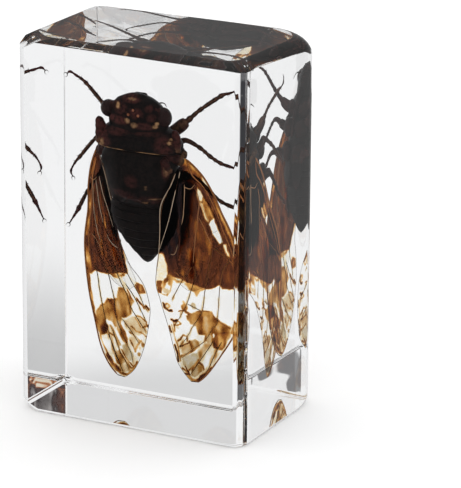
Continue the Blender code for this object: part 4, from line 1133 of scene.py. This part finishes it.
def makeCamera():
    view = {"azimuth": 28.166, "elevation": 16.834, "roll": 0.099, "distance": 381.856,
            "focal": 3348.281, "centre": (167.533, 221.915), "target": (0.0, 0.0, 22.0),
            "frame": (461, 488)}
    a, e, r = (math.radians(view[k]) for k in ("azimuth", "elevation", "roll"))
    back = Vector((math.sin(a) * math.cos(e), -math.cos(a) * math.cos(e), math.sin(e)))
    right = Vector((math.cos(a), math.sin(a), 0.0))
    up = back.cross(right)
    right, up = right * math.cos(r) + up * math.sin(r), up * math.cos(r) - right * math.sin(r)
    dx = (view["frame"][0] / 2 - view["centre"][0]) / view["focal"]
    dy = (view["frame"][1] / 2 - view["centre"][1]) / view["focal"]
    aim = (-back + right * dx - up * dy).normalized()
    side = aim.cross(up).normalized()
    top = side.cross(aim)
    data = bpy.data.cameras.new("camera")
    data.sensor_width = 36.0
    data.lens = view["focal"] * data.sensor_width / max(view["frame"])
    data.clip_end = 10.0
    camera = bpy.data.objects.new("camera", data)
    bpy.context.scene.collection.objects.link(camera)
    camera.matrix_world = Matrix((
        (side.x, top.x, -aim.x, 0.0), (side.y, top.y, -aim.y, 0.0), (side.z, top.z, -aim.z, 0.0),
        (0.0, 0.0, 0.0, 1.0)))
    camera.location = (Vector(view["target"]) + back * view["distance"]) * mm
    bpy.context.scene.camera = camera


def makeStage():
    # a lit backdrop; the zones are cards and colours of the room that only the block shows
    light = {"backdrop": 1.15, "dome": 1.2, "behind": 1.0,
             "frontGlare": 0.04, "sideGlare": 0.46, "topGlare": 0.26, "blotchScale": 120.0, "floorSize": 0.6,
             "floorGap": 0.05, "upFade": 0.2, "rearFade": 0.5}
    zones = [
        # direction of the zone, inner and outer half angle in degrees, colour or blotches of colours
        ("left card", (-0.88, 0.36, -0.32), 8, 15, (0.05, 0.05, 0.055)),
        ("left haze", (0.409, 0.764, -0.499), 10.7, 13.2, (0.6, 0.6, 0.6)),
        ("low haze", (-0.409, 0.764, -0.499), 10.25, 11.15, (0.74, 0.74, 0.74)),
        ("table front", (-0.52, 0.79, 0.33), 9, 15, (0.76, 0.76, 0.76)),
        ("wood", (0.48, 0.81, 0.33), 4, 7, "wood"),
        ("low card", (-0.4125, -0.8487, 0.331), 0.36, 0.44, (0.2, 0.2, 0.205)),
    ]
    blotches = {"wood": [
        (0.34, (0.75, 0.68, 0.55)), (0.40, (0.50, 0.19, 0.07)), (0.46, (0.075, 0.032, 0.024)),
        (0.60, (0.035, 0.026, 0.026)), (0.68, (0.30, 0.28, 0.27))]}
    mesh = bpy.data.meshes.new("floor")
    bm = bmesh.new()
    bmesh.ops.create_grid(bm, x_segments=1, y_segments=1, size=light["floorSize"])
    bm.to_mesh(mesh)
    bm.free()
    floor = bpy.data.objects.new("floor", mesh)
    bpy.context.scene.collection.objects.link(floor)
    floor.location.z = cadBox[0].z - light["floorGap"] * mm
    floor.visible_glossy = False
    floor.visible_transmission = False
    made = newMaterial("paleFloor", {
        "Base Color": (0.95, 0.95, 0.95, 1.0), "Roughness": 0.9, "Specular IOR Level": 0.0})[0]
    mesh.materials.append(made)
    world = bpy.data.worlds.new("studio")
    bpy.context.scene.world = world
    world.use_nodes = True
    tree = world.node_tree
    ray = newNode(tree, "LightPath").outputs
    place = newNode(tree, "TexCoord").outputs["Generated"]
    apart = newNode(tree, "SeparateXYZ", links={"Vector": place}).outputs

    def ramp(source, start, end):
        return newNode(tree, "MapRange", {"From Min": start, "From Max": end}, {"Value": source},
                       interpolation_type="SMOOTHSTEP").outputs["Result"]

    def choose(factor, low, high):
        return mixColours(tree, factor, low, high)

    for name, tones in blotches.items():
        wave = newNode(tree, "TexNoise", {"Scale": light["blotchScale"]}, {"Vector": place})
        blotches[name] = toneRamp(tree, wave.outputs["Fac"], tones)
    behind = light["behind"]
    for name, direction, inner, outer, colour in zones:
        colour = blotches.get(colour, colour)
        toward = newNode(tree, "VectorMath", {1: Vector(direction).normalized()}, {0: place},
                         operation="DOT_PRODUCT").outputs["Value"]
        edges = (math.cos(math.radians(angle)) for angle in (outer, inner))
        behind = choose(ramp(toward, *edges), behind, colour)
    rear = choose(ramp(apart["Z"], -light["upFade"], light["upFade"]), light["sideGlare"],
                  light["topGlare"])
    glare = choose(ramp(apart["Y"], -light["rearFade"], light["rearFade"]), light["frontGlare"], rear)
    seen = choose(ray["Is Reflection Ray"], light["dome"], glare)
    seen = choose(ray["Is Transmission Ray"], seen, behind)
    seen = choose(ramp(ray["Diffuse Depth"], 0.0, 1.0), seen, light["dome"])
    seen = choose(ray["Is Camera Ray"], seen, light["backdrop"])
    tree.links.new(seen, tree.nodes["Background"].inputs["Color"])
    print("stage made")


makeBlock()
makeWings()
makeLegs(makeBody())
makeCamera()
makeStage()
bpy.context.scene.view_settings.view_transform = "Standard"
bpy.context.scene.cycles.max_bounces = 24
bpy.context.scene.cycles.glossy_bounces = 16
bpy.context.scene.cycles.transmission_bounces = 24
